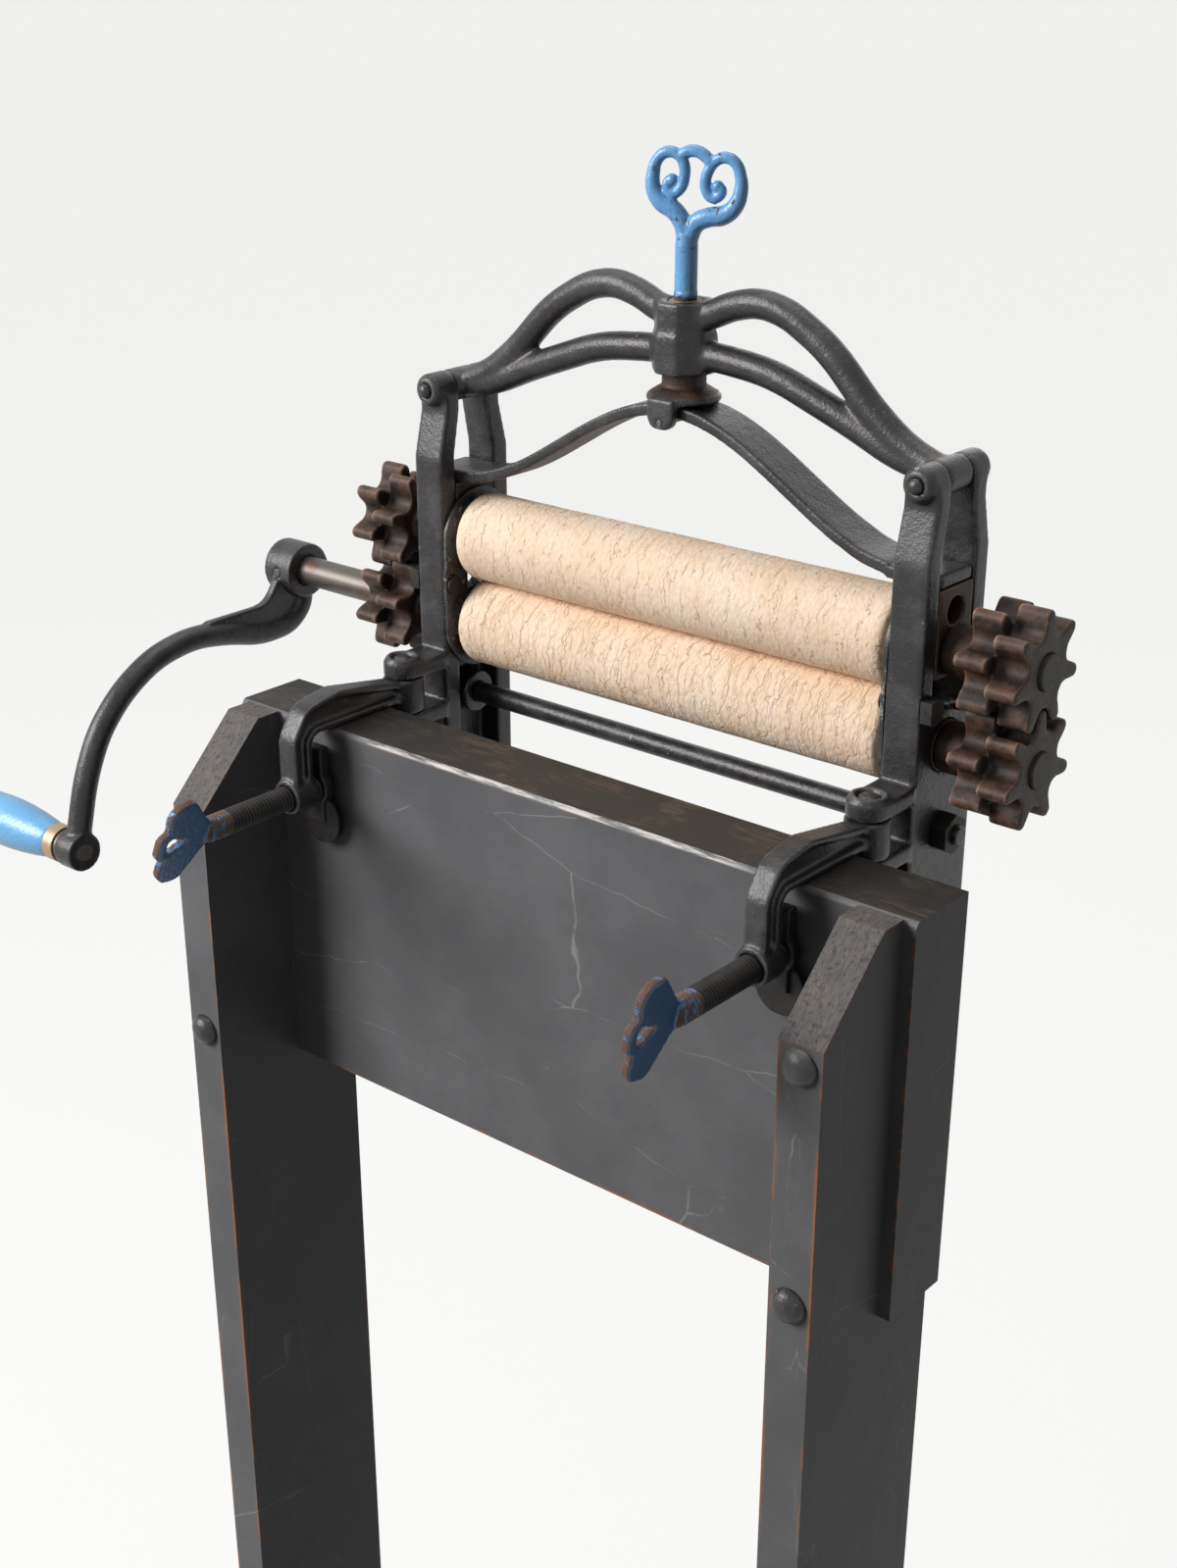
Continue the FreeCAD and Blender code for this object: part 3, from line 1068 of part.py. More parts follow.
def clamp_screw(turn):
    """The right clamp screw with its three-lobed wing, turned by degrees from upright."""
    shoulder = jaw_back - d.screw_tip_play
    wing_start = front_face - d.screw_reach
    screw = round_bar(d.screw_dia, point(frame_mid, wing_start, screw_z), "Y", shoulder - wing_start)
    tip = round_bar(d.screw_tip_dia, point(frame_mid, shoulder, screw_z), "Y", d.screw_tip)
    half = d.wing_width / 2
    near = frame_mid - d.wing_thickness / 2
    lobe = [(-0.1, 0.25, 0), (0.02, 0.3, 0), (0.43, 1, 0.17), (0.9, 0.93, 0.27), (0.855, 0.335, 0.04)]
    lobe.append((1, 0.25, 0.16))
    lobe += [(along, -across, bend) for along, across, bend in reversed(lobe)]
    eye = [(0.82, -0.25, 0.075), (0.41, 0, 0.03), (0.82, 0.25, 0.075)]
    plates = []
    for line in (lobe, eye):
        corners = []
        for along, across, bend in line:
            spot = point(near, wing_start - along * d.wing_length, screw_z + across * half)
            corners.append((spot, bend * float(d.wing_length)))
        plates.append(rounded_face(corners).extrude(DIRECTIONS["X"] * float(d.wing_thickness)))
    wing, window = plates
    wing = wing.cut(window).rotated(point(frame_mid, wing_start, screw_z), DIRECTIONS["Y"], turn)
    return screw.fuse([tip, wing])


def clamps():
    """Two clamps that hold the side frames to the board, left and right alike."""
    for name, side in SIDES.items():
        screw = clamp_screw(side * WING_TURN[name])
        for piece, shape in (("arm", clamp_arm()), ("jaw", clamp_jaw()), ("screw", screw)):
            casting(f"{name}_clamp_{piece}", shape if side > 0 else mirrored(shape))


stand()
side_frames()
top_bar()
frame_fittings()
rolls()
pressure_gear()
gears()
crank()
clamps()

doc.recompute()
for thing in doc.Objects:
    if "Invalid" in thing.State or "Error" in thing.State:
        raise RuntimeError(f"{thing.Label} failed: {thing.State}")
for piece in pieces:
    if piece.Shape.isNull() or not piece.Shape.isValid() or not piece.Shape.Solids:
        raise RuntimeError(f"{piece.Label} has no valid solid")
os.makedirs("parts", exist_ok=True)
for piece in pieces:
    piece.Shape.exportStep(f"parts/{piece.Label}.step")
    print(piece.Label, len(piece.Shape.Solids), round(piece.Shape.Volume))
print(len(pieces), "sub-parts")
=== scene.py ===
"""Finishes a hand-cranked laundry wringer on its stand: castings, rolls, screws, timber and paint."""

import json
import math
from functools import partial

import bmesh
import bpy
from bpy.props import FloatProperty, FloatVectorProperty, IntProperty, PointerProperty
from mathutils import Matrix, Vector, noise


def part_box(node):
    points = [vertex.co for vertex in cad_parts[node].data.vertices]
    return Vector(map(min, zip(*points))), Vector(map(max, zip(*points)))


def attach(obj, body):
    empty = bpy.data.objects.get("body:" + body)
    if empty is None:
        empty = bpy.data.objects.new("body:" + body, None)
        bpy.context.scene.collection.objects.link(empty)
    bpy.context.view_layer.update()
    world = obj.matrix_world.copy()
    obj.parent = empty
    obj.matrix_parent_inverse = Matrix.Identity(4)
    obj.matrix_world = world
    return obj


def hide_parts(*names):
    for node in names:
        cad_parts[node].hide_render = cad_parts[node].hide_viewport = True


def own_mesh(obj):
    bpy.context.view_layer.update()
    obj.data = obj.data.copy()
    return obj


bl_info = {
    "name": "Laundry wringer",
    "version": (1, 0, 0),
    "blender": (4, 5, 0),
    "location": "View3D > Sidebar > Wringer",
    "description": "Builds the finished pieces of a hand-cranked laundry wringer on its stand",
    "category": "Object",
}

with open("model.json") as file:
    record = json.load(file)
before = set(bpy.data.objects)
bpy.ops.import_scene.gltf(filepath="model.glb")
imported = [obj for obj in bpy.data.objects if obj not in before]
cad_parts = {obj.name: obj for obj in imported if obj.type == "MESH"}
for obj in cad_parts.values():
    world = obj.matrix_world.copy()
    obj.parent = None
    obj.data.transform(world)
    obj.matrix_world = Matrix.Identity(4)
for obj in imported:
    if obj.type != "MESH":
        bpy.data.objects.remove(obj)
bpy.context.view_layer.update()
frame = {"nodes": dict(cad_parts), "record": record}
RECORD = frame["record"]
BODY_OF = {node: body for body, nodes in RECORD["behaviour"]["bodies"].items() for node in nodes}

MM = 0.001
MERGE = 0.002 * MM
FULL_TURN = 2 * math.pi
# A wave texture of scale 1 repeats 20 times in a full turn of its sine
WAVE_TURN = FULL_TURN / 20
X = Vector((1, 0, 0))
Y = Vector((0, 1, 0))
Z = Vector((0, 0, 1))
SIDES = {"left": -1, "right": 1}


def middle(node):
    low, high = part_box(node)
    return (low + high) / 2


# Places read from the frame: the board, the lower roll's axis and the screw above it
BOARD_LOW, BOARD_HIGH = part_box("cross_board")
MID = middle("cross_board").x
LOWER_AXIS = middle("lower_roll_rubber")
ROLL_HALF = (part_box("upper_roll_rubber")[1].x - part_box("upper_roll_rubber")[0].x) / 2
SCREW_AXIS = Vector((MID, LOWER_AXIS.y, 0))
HUB_TOP = LOWER_AXIS.z + 177.4 * MM
CLAMP_SCREW_Z = LOWER_AXIS.z - 62.7 * MM
# Along a clamp screw: where its thread begins inside the wing's root, and where the wing is cut off
CLAMP_THREAD_START = BOARD_LOW.y - 78 * MM
WING_CUT = BOARD_LOW.y - 76 * MM
WING_TURN = {"left": math.radians(24), "right": math.radians(12)}

# The photograph's camera: its place from the middle of the board's top front edge, its turn and its lens
CAMERA_PLACE = Vector((609.9, -686.5, 385.6)) * MM
CAMERA_TURN = (math.radians(90 - 24.5), 0, math.radians(40.2))
CAMERA_LENS = 49.92
CAMERA_SHIFT = 0.0503
SENSOR_HEIGHT = 36

# Lamps: place and aim in metres, width in metres, power in watts
LAMPS = (
    ("key_light", (-1.5, -1.9, 2.2), (0.05, 0.1, 0.95), 1.4, 102),
    ("fill_light", (1.3, -2.2, 1.3), (0.05, 0.1, 0.9), 1.5, 1.2),
    ("top_light", (-0.2, 0.4, 3.0), (0.1, 0.1, 1.0), 1.5, 15),
    ("back_light", (-0.9, 2.6, 1.8), (0.0, 0.1, 0.8), 1.5, 10),
)
FLOOR_HALF = 40
# Share of the floor that shines by itself; the rest is lit and keeps the shadow
GLOW = 0.88

# Scroll key, in millimetres across and up from the screw boss's top: two strands, the arch between, the stem
KEY_LEFT = ((0, 20), (-0.6, 28), (-2.4, 34), (-6.5, 38.7), (-12.2, 41.9), (-16, 47.2), (-16.3, 54),
            (-14.4, 59.8), (-10, 63.1), (-5, 62.5), (-2, 58.8), (-1.6, 52.8), (-3.4, 47.9), (-7, 45.9),
            (-9.4, 47.7), (-9, 50.8), (-7.2, 51.6))
KEY_RIGHT = ((0, 20), (1.4, 28), (4.8, 33.8), (10.8, 36.4), (16.8, 37.4), (22.2, 41.4), (24.8, 48),
             (24.6, 54.4), (22, 60), (17.4, 61.9), (12.8, 60.2), (9.7, 56.2), (8.3, 51.5),
             (9, 47.2), (11.4, 44.8), (14.6, 45.4), (15.9, 48.2), (14.2, 49.6))
KEY_ARCH = ((-4.4, 60.6), (-1, 63.3), (3.3, 64.1), (7.6, 62.5), (10.6, 59.8))
KEY_STEM = ((0, 0.6), (4.4, 0.6), (5.4, 1.6), (5.5, 3), (5.2, 4.4), (5.2, 14), (5.2, 24), (4.8, 29), (0, 31))
KEY_CURL = 5.6 * MM
KEY_GRAIN = 0.5 * MM
KEY_ROUNDS = 5
KEY_TURN = math.radians(17.5)

# Screws: outer radius of the thread, length of the plain end, and turned ends in millimetres
PRESS_RADIUS = 8 * MM
PRESS_END = 6 * MM
PRESS_TIP = ((0, 0), (4.5, 0), (5.5, 1), (5.5, 7), (0, 7))
PRESS_COLLAR = ((0, -1), (5.2, -1), (5.2, 1.2), (0, 1.2))
CLAMP_RADIUS = 6.35 * MM
CLAMP_END = 6.5 * MM
CLAMP_TIP = ((0, 0), (4.5, 0), (4.5, 5.7), (3.7, 6.5), (0, 6.5))
# Depth of the clamp screw's thread as a share of the pressure screw's
CLAMP_DEPTH_SHARE = 0.6
# Length of the clamp screw's thread that the wing's paint runs over
PAINTED_THREAD = 11 * MM

# Handle: radius as a share of the largest and place as a share of the length, from the crank outwards
HANDLE_BELLY = ((0.62, 0), (0.68, 0.015), (0.8, 0.1), (0.95, 0.27), (1, 0.43), (0.94, 0.6), (0.85, 0.76),
                (0.88, 0.87), (0.82, 0.94), (0.68, 0.985), (0.52, 1))
HANDLE_BORE = 4.6 * MM

# Rolls: rubber's wall, its rounded lip, the mesh along and around it, the outer skin that wavers,
# the length of a waver in millimetres and the least depth of it
RUBBER_WALL = 14 * MM
RUBBER_LIP = 2.5 * MM
RUBBER_CORNER = 0.8 * MM
RUBBER_RINGS = 60
RUBBER_STEPS = 96
RUBBER_SKIN = 1 * MM
WAVER_LENGTH = 22
WAVER_LEAST = 0.02 * MM

# Saddle, from its top down: rusty part, slimmed part, and the length over which the slimming sets in;
# then the share of its width and the height that the slimming takes
SADDLE_RUST = 11 * MM
SADDLE_SLIM = 9 * MM
SADDLE_EASE = 3 * MM
SADDLE_TAPER = 0.06
SADDLE_DROP = 1.2 * MM


def linear(colour):
    """An sRGB hex colour as the linear values that a shader takes."""
    parts = [int(colour[start:start + 2], 16) / 255 for start in (1, 3, 5)]
    return tuple(part / 12.92 if part <= 0.04045 else ((part + 0.055) / 1.055) ** 2.4 for part in parts)


def colour(name, words, value):
    return FloatVectorProperty(name=name, description=words, subtype="COLOR", size=3, min=0, max=1,
                               default=linear(value))


def length(name, words, millimetres):
    return FloatProperty(name=name, description=words, subtype="DISTANCE", unit="LENGTH", min=0,
                         default=millimetres * MM)


class WringerColours(bpy.types.PropertyGroup):
    japan: colour("Japan", "Black japan on the castings", "#262628")
    japan_light: colour("Japan, rubbed", "Japan where it is dusty or rubbed thin", "#414144")
    bare_iron: colour("Bare iron", "Iron and old filler on the worn ridges", "#a8a39a")
    grease: colour("Grease", "Black grease in the hollows", "#0d0a09")
    rust_dark: colour("Rust, deep", "Dark old rust", "#211915")
    rust: colour("Rust", "Even brown rust", "#5c4133")
    rust_dust: colour("Rust, dusty", "Dusty pinkish rust on the high places", "#ac8a77")
    steel: colour("Steel", "Dull grey shaft steel", "#65605b")
    brass: colour("Brass", "Ferrule of the crank's handle", "#b39a7c")
    thread: colour("Thread", "Oiled iron of the clamp screws", "#221f1d")
    rubber: colour("Rubber", "Tan roll rubber", "#f1d3b4")
    rubber_pale: colour("Rubber, pale", "Roll rubber where it is dusty", "#f8e1ca")
    crack: colour("Crack", "Inside of a crack in the rubber", "#b08a66")
    sky_blue: colour("Sky blue", "Light blue paint on the scroll key", "#70b0e8")
    deep_blue: colour("Deep blue", "Blue paint on the clamp wings", "#4a83ba")
    board_black: colour("Board black", "Black paint on the timber", "#5b5b5d")
    board_grey: colour("Board grey", "Black paint rubbed grey", "#69696b")
    pale_wear_and_highlight: colour("Worn edge", "Pale bare strip on the board's front edge", "#cbc8c4")
    bare_wood: colour("Bare wood", "Wood along the worn edges", "#b06c36")
    # Pale colour of the board's scratches and of its front edge strip, which is partly rubbed paint and
    # partly painted highlight
    top_wood: colour("Top wood", "Brown wood that shows through on the board's top", "#544639")
    old_wood: colour("Old wood", "Weathered grey wood", "#7a6f65")
    handle_blue: colour("Handle blue", "Light blue paint on the crank's handle", "#74b8ea")
    top_black: colour("Top black", "Black paint worn into the board's top", "#2a2826")
    floor: colour("Floor", "Studio floor and background", "#fcfcfb")
    floor_shade: colour("Floor shade", "The light that the floor gives back", "#7d7d7c")


class WringerSizes(bpy.types.PropertyGroup):
    frame_grain: length("Frame grain", "Mesh fineness of the large castings", 1.1)
    small_grain: length("Small grain", "Mesh fineness of the small castings", 0.75)
    cast_rounds: IntProperty(name="Cast rounding", description="Smoothing passes on a casting",
                             default=6, min=0)
    timber_edge: length("Timber edge", "Rounding along the timber's edges", 1.6)
    fine_edge: length("Fine edge", "Rounding along small metal edges", 0.5)
    clamp_pitch: length("Clamp pitch", "Thread pitch of the clamp screws", 2.1)
    press_pitch: length("Press pitch", "Thread pitch of the pressure screw", 3.2)
    thread_depth: length("Thread depth", "Depth of the threads", 1.0)
    roll_waver: length("Roll waver", "Unevenness of the worn rubber", 0.25)


def per(millimetres):
    """The texture scale that gives features of a real size."""
    return 1 / (millimetres * MM)


# Settings that many nodes share: a soft step, a mix of colours, the larger of two, products
SOFT = {"interpolation_type": "SMOOTHSTEP"}
COLOURS = {"data_type": "RGBA"}
LARGER = {"operation": "MAXIMUM"}
TIMES = {"operation": "MULTIPLY"}
TIMES_PLUS = {"operation": "MULTIPLY_ADD"}


def add(tree, kind, inputs=None, **settings):
    """One shader node with its settings; an input is a value to set, or a socket or node to link from."""
    made = tree.nodes.new("ShaderNode" + kind)
    for name, value in settings.items():
        setattr(made, name, value)
    for name, value in (inputs or {}).items():
        socket = made.inputs[name]
        if isinstance(value, bpy.types.Node):
            value = next(out for out in value.outputs if out.enabled)
        if isinstance(value, bpy.types.NodeSocket):
            tree.links.new(value, socket)
        elif socket.type == "RGBA":
            socket.default_value = (*value, 1)
        else:
            socket.default_value = value
    return made


def new_finish(name):
    """An empty finish: its material, the adder for its own tree and the piece's own coordinates."""
    material = bpy.data.materials.new(name)
    material.use_nodes = True
    material.node_tree.nodes.clear()
    put = partial(add, material.node_tree)
    return material, put, put("TexCoord").outputs["Object"]


def surfaced(material, inputs):
    """Closes a finish: its surface with the colours and relief that were worked out for it."""
    shader = add(material.node_tree, "BsdfPrincipled", inputs)
    add(material.node_tree, "OutputMaterial", {"Surface": shader})
    return material


def japanned_iron(look):
    """Black japan baked on sand-cast iron: dark and glossy, lumpy from the sand, chipped pale on ridges."""
    material, put, place = new_finish("black_japan_on_cast_iron")
    # Moulding sand is finer than this; it is drawn as coarse as it needs to show
    sand = put("TexNoise", {"Vector": place, "Scale": per(1.5), "Detail": 3.0, "Roughness": 0.65})
    lumps = put("TexNoise", {"Vector": place, "Scale": per(6), "Detail": 3.0})
    cloud = put("TexNoise", {"Vector": place, "Scale": per(26), "Detail": 5.0, "Roughness": 0.65})
    speck = put("TexNoise", {"Vector": place, "Scale": per(4.5), "Detail": 4.0, "Roughness": 0.7})
    bend = put("NewGeometry").outputs["Pointiness"]
    dull = put("MapRange", {"Value": cloud, "From Min": 0.42, "From Max": 0.72}, **SOFT)
    black = put("Mix", {0: dull, 6: look.japan, 7: look.japan_light}, **COLOURS)
    stain = put("MapRange", {"Value": lumps, "From Min": 0.54, "From Max": 0.7, "To Max": 0.3}, **SOFT)
    base = put("Mix", {0: stain, 6: black, 7: look.rust}, **COLOURS)
    ridge = put("MapRange", {"Value": bend, "From Min": 0.51, "From Max": 0.57}, **SOFT)
    thin = put("MapRange", {"Value": cloud, "From Min": 0.4, "From Max": 0.62, "To Max": 0.35}, **SOFT)
    rubbed = put("Math", {0: ridge, 1: thin}, **TIMES)
    greyed = put("Mix", {0: rubbed, 6: base, 7: look.bare_iron}, **COLOURS)
    flaked = put("Math", {0: ridge, 1: 0.13, 2: speck}, **TIMES_PLUS)
    chip = put("MapRange", {"Value": flaked, "From Min": 0.69, "From Max": 0.73, "To Max": 0.8}, **SOFT)
    chipped = put("Mix", {0: chip, 6: greyed, 7: look.bare_iron}, **COLOURS)
    dust = put("MapRange", {"Value": bend, "From Min": 0.47, "From Max": 0.42, "To Max": 0.2}, **SOFT)
    dusty = put("Mix", {0: dust, 6: chipped, 7: look.rust_dust}, **COLOURS)
    rough = put("MapRange", {"Value": cloud, "To Min": 0.25, "To Max": 0.5})
    relief = put("Math", {0: lumps, 1: 1.6, 2: sand}, **TIMES_PLUS)
    bump = put("Bump", {"Strength": 0.6, "Distance": 0.35 * MM, "Height": relief})
    return surfaced(material, {"Base Color": dusty, "Roughness": rough, "Specular IOR Level": 0.45,
                               "Normal": bump})


def rusty_iron(look, name, base_from, base_to, dust, dust_share):
    """Bare iron under brown rust: matt, black with grease in the hollows and dusty on the tips."""
    material, put, place = new_finish(name)
    cloud = put("TexNoise", {"Vector": place, "Scale": per(8), "Detail": 6.0, "Roughness": 0.7})
    pit = put("TexNoise", {"Vector": place, "Scale": per(1.3), "Detail": 3.0})
    bend = put("NewGeometry").outputs["Pointiness"]
    share = put("MapRange", {"Value": cloud, "From Min": 0.35, "From Max": 0.68}, **SOFT)
    base = put("Mix", {0: share, 6: base_from, 7: base_to}, **COLOURS)
    ridge = put("MapRange", {"Value": bend, "From Min": 0.505, "From Max": 0.56}, **SOFT)
    dry = put("MapRange", {"Value": cloud, "From Min": 0.28, "From Max": 0.55, "To Max": dust_share},
              **SOFT)
    tips = put("Math", {0: ridge, 1: dry}, **TIMES)
    dusty = put("Mix", {0: tips, 6: base, 7: dust}, **COLOURS)
    open_air = put("AmbientOcclusion", {"Distance": 12 * MM}, samples=6).outputs["AO"]
    hollow = put("MapRange", {"Value": open_air, "From Min": 0.9, "From Max": 0.5, "To Max": 0.95}, **SOFT)
    greasy = put("Mix", {0: hollow, 6: dusty, 7: look.grease}, **COLOURS)
    bump = put("Bump", {"Strength": 0.5, "Distance": 0.3 * MM, "Height": pit})
    return surfaced(material, {"Base Color": greasy, "Roughness": 0.55, "Specular IOR Level": 0.3,
                               "Normal": bump})


def shaft_steel(look):
    """Turned mild steel gone dull: grey with brown stains and fine rings from the lathe."""
    material, put, place = new_finish("dull_turned_steel")
    stain = put("TexNoise", {"Vector": place, "Scale": per(14), "Detail": 5.0})
    # Rings from the lathe are finer than this; they are drawn as coarse as they need to show
    rings = put("TexWave", {"Vector": place, "Scale": per(1.1) * WAVE_TURN, "Distortion": 0.4},
                bands_direction="X").outputs["Fac"]
    share = put("MapRange", {"Value": stain, "From Min": 0.45, "From Max": 0.7, "To Max": 0.7}, **SOFT)
    brown = put("Mix", {0: share, 6: look.steel, 7: look.rust}, **COLOURS)
    bump = put("Bump", {"Strength": 0.1, "Distance": 0.1 * MM, "Height": rings})
    return surfaced(material, {"Base Color": brown, "Metallic": 0.75, "Roughness": 0.45, "Normal": bump})


def worn_brass(look):
    """Thin rolled brass, handled for years: warm, dull and a little brown in patches."""
    material, put, place = new_finish("worn_rolled_brass")
    patch = put("TexNoise", {"Vector": place, "Scale": per(6), "Detail": 4.0})
    share = put("MapRange", {"Value": patch, "From Min": 0.45, "From Max": 0.7, "To Max": 0.5}, **SOFT)
    tarnish = put("Mix", {0: share, 6: look.brass, 7: look.rust_dust}, **COLOURS)
    return surfaced(material, {"Base Color": tarnish, "Metallic": 0.6, "Roughness": 0.42})


def cracked_rubber(look, name, broken):
    """Dry tan rubber: matt and chalky, pebbled like leather, with thin wavering cracks round the roll."""
    material, put, place = new_finish(name)
    gaps = put("TexNoise", {"Vector": place, "Scale": per(8), "Detail": 2.0})
    lines = []
    for spacing, waver, first, thin in ((9.0, 5.0, 0.44, 0.992), (5.2, 7.0, 0.54, 0.986)):
        rings = put("TexWave", {"Vector": place, "Scale": per(spacing) * WAVE_TURN, "Distortion": waver,
                                "Detail": 4.0, "Detail Scale": spacing / 3, "Detail Roughness": 0.6},
                    bands_direction="X").outputs["Fac"]
        line = put("MapRange", {"Value": rings, "From Min": thin - broken / 20, "From Max": 1.0}, **SOFT)
        start = first - broken
        there = put("MapRange", {"Value": gaps, "From Min": start, "From Max": start + 0.08}, **SOFT)
        lines.append(put("Math", {0: line, 1: there}, **TIMES))
    bent = put("VectorMath", {0: gaps.outputs["Color"], 1: (9 * MM, 9 * MM, 9 * MM), 2: place},
               **TIMES_PLUS)
    blocks = put("Mapping", {"Vector": bent, "Scale": (per(7), per(24), per(24))})
    net = put("TexVoronoi", {"Vector": blocks, "Scale": 1.0}, feature="DISTANCE_TO_EDGE")
    split = put("MapRange", {"Value": net, "From Min": 0.05, "From Max": 0.0, "To Max": 5 * broken}, **SOFT)
    rings = put("Math", {0: lines[0], 1: lines[1]}, **LARGER)
    crack = put("Math", {0: rings, 1: split}, **LARGER)
    squeezed = put("Mapping", {"Vector": place, "Scale": (per(2.0), per(3.0), per(3.0))})
    pebble = put("TexVoronoi", {"Vector": squeezed, "Scale": 1.0}, feature="F1").outputs["Distance"]
    cloud = put("TexNoise", {"Vector": place, "Scale": per(34), "Detail": 6.0, "Roughness": 0.7})
    chalk = put("MapRange", {"Value": cloud, "From Min": 0.35, "From Max": 0.68}, **SOFT)
    base = put("Mix", {0: chalk, 6: look.rubber, 7: look.rubber_pale}, **COLOURS)
    seam = put("MapRange", {"Value": pebble, "From Min": 0.4, "From Max": 0.85, "To Max": 0.16}, **SOFT)
    leather = put("Mix", {0: seam, 6: base, 7: look.crack}, **COLOURS)
    open_crack = put("Math", {0: crack, 1: 0.5 + broken}, **TIMES)
    cracked = put("Mix", {0: open_crack, 6: leather, 7: look.crack}, **COLOURS)
    sunk = put("Math", {0: pebble, 1: 0.55, 2: crack}, **TIMES_PLUS)
    bump = put("Bump", {"Strength": 0.6, "Distance": 0.7 * MM, "Height": sunk}, invert=True)
    return surfaced(material, {"Base Color": cracked, "Roughness": 0.85, "Normal": bump})


def chipped_paint(look, name, paint, chip_from):
    """Brushed oil paint over iron: glossy and lumpy, with chips along the ridges that show dark rust."""
    material, put, place = new_finish(name)
    cloud = put("TexNoise", {"Vector": place, "Scale": per(6), "Detail": 6.0, "Roughness": 0.7})
    bend = put("NewGeometry").outputs["Pointiness"]
    ridge = put("MapRange", {"Value": bend, "From Min": 0.51, "From Max": 0.6}, **SOFT)
    worn = put("Math", {0: ridge, 1: 0.22, 2: cloud}, **TIMES_PLUS)
    chip = put("MapRange", {"Value": worn, "From Min": chip_from, "From Max": chip_from + 0.03}, **SOFT)
    tone = put("TexNoise", {"Vector": place, "Scale": per(14), "Detail": 3.0})
    shade = put("HueSaturation", {"Value": 0.7, "Color": paint})
    base = put("Mix", {0: tone, 6: paint, 7: shade}, **COLOURS)
    chipped = put("Mix", {0: chip, 6: base, 7: look.rust}, **COLOURS)
    rough = put("MapRange", {"Value": chip, "To Min": 0.3, "To Max": 0.75})
    brushed = put("TexNoise", {"Vector": place, "Scale": per(2.2), "Detail": 3.0, "Roughness": 0.6})
    relief = put("Math", {0: chip, 1: -0.8, 2: brushed}, **TIMES_PLUS)
    bump = put("Bump", {"Strength": 0.8, "Distance": 0.4 * MM, "Height": relief})
    return surfaced(material, {"Base Color": chipped, "Roughness": rough, "Specular IOR Level": 0.6,
                               "Normal": bump})


def painted_timber(look, name, grain_axis):
    """Black paint on planed softwood: satin, the grain showing through, bare wood along the edges."""
    material, put, place = new_finish(name)
    fibres = [per(90) if axis == grain_axis else per(1.6) for axis in "XYZ"]
    stretched = put("Mapping", {"Vector": place, "Scale": fibres})
    grain = put("TexNoise", {"Vector": stretched, "Scale": 1.0, "Detail": 4.0, "Roughness": 0.6})
    cloud = put("TexNoise", {"Vector": place, "Scale": per(70), "Detail": 6.0, "Roughness": 0.65})
    faded = put("MapRange", {"Value": cloud, "From Min": 0.35, "From Max": 0.75}, **SOFT)
    base = put("Mix", {0: faded, 6: look.board_black, 7: look.board_grey}, **COLOURS)
    streaks = put("MapRange", {"Value": grain, "From Min": 0.62, "From Max": 0.78, "To Max": 0.25}, **SOFT)
    streaked = put("Mix", {0: streaks, 6: base, 7: look.old_wood}, **COLOURS)
    wander = put("TexNoise", {"Vector": place, "Scale": per(30), "Detail": 2.0})
    bent = put("VectorMath", {0: wander.outputs["Color"], 1: (9 * MM, 9 * MM, 9 * MM), 2: place},
               **TIMES_PLUS)
    lengthways = [per(190) if axis == grain_axis else per(60) for axis in "XYZ"]
    drawn = put("Mapping", {"Vector": bent, "Scale": lengthways})
    cells = put("TexVoronoi", {"Vector": drawn, "Scale": 1.0}, feature="DISTANCE_TO_EDGE")
    thin = put("MapRange", {"Value": cells, "From Min": 0.005, "From Max": 0.0}, **SOFT)
    rare = put("MapRange", {"Value": cloud, "From Min": 0.5, "From Max": 0.6, "To Max": 0.25}, **SOFT)
    scratch = put("Math", {0: thin, 1: rare}, **TIMES)
    scored = put("Mix", {0: scratch, 6: streaked, 7: look.pale_wear_and_highlight}, **COLOURS)
    rounded = put("Bevel", {"Radius": 4.5 * MM}, samples=6)
    flat = put("NewGeometry").outputs["True Normal"]
    facing = put("VectorMath", {0: flat, 1: rounded}, operation="DOT_PRODUCT")
    edge = put("MapRange", {"Value": facing, "From Min": 0.985, "From Max": 0.84, "To Max": 0.5}, **SOFT)
    patch_scales = [per(45) if axis == grain_axis else per(6) for axis in "XYZ"]
    patches = put("Mapping", {"Vector": place, "Scale": patch_scales})
    patch = put("TexNoise", {"Vector": patches, "Scale": 1.0, "Detail": 4.0, "Roughness": 0.6})
    worn = put("Math", {0: edge, 1: patch})
    bare = put("MapRange", {"Value": worn, "From Min": 0.99, "From Max": 1.06}, **SOFT)
    edged = put("Mix", {0: bare, 6: scored, 7: look.bare_wood}, **COLOURS)
    rough = put("MapRange", {"Value": grain, "To Min": 0.38, "To Max": 0.55})
    bump = put("Bump", {"Strength": 0.3, "Distance": 0.3 * MM, "Height": grain})
    return surfaced(material, {"Base Color": edged, "Roughness": rough, "Specular IOR Level": 0.12,
                               "Normal": bump})


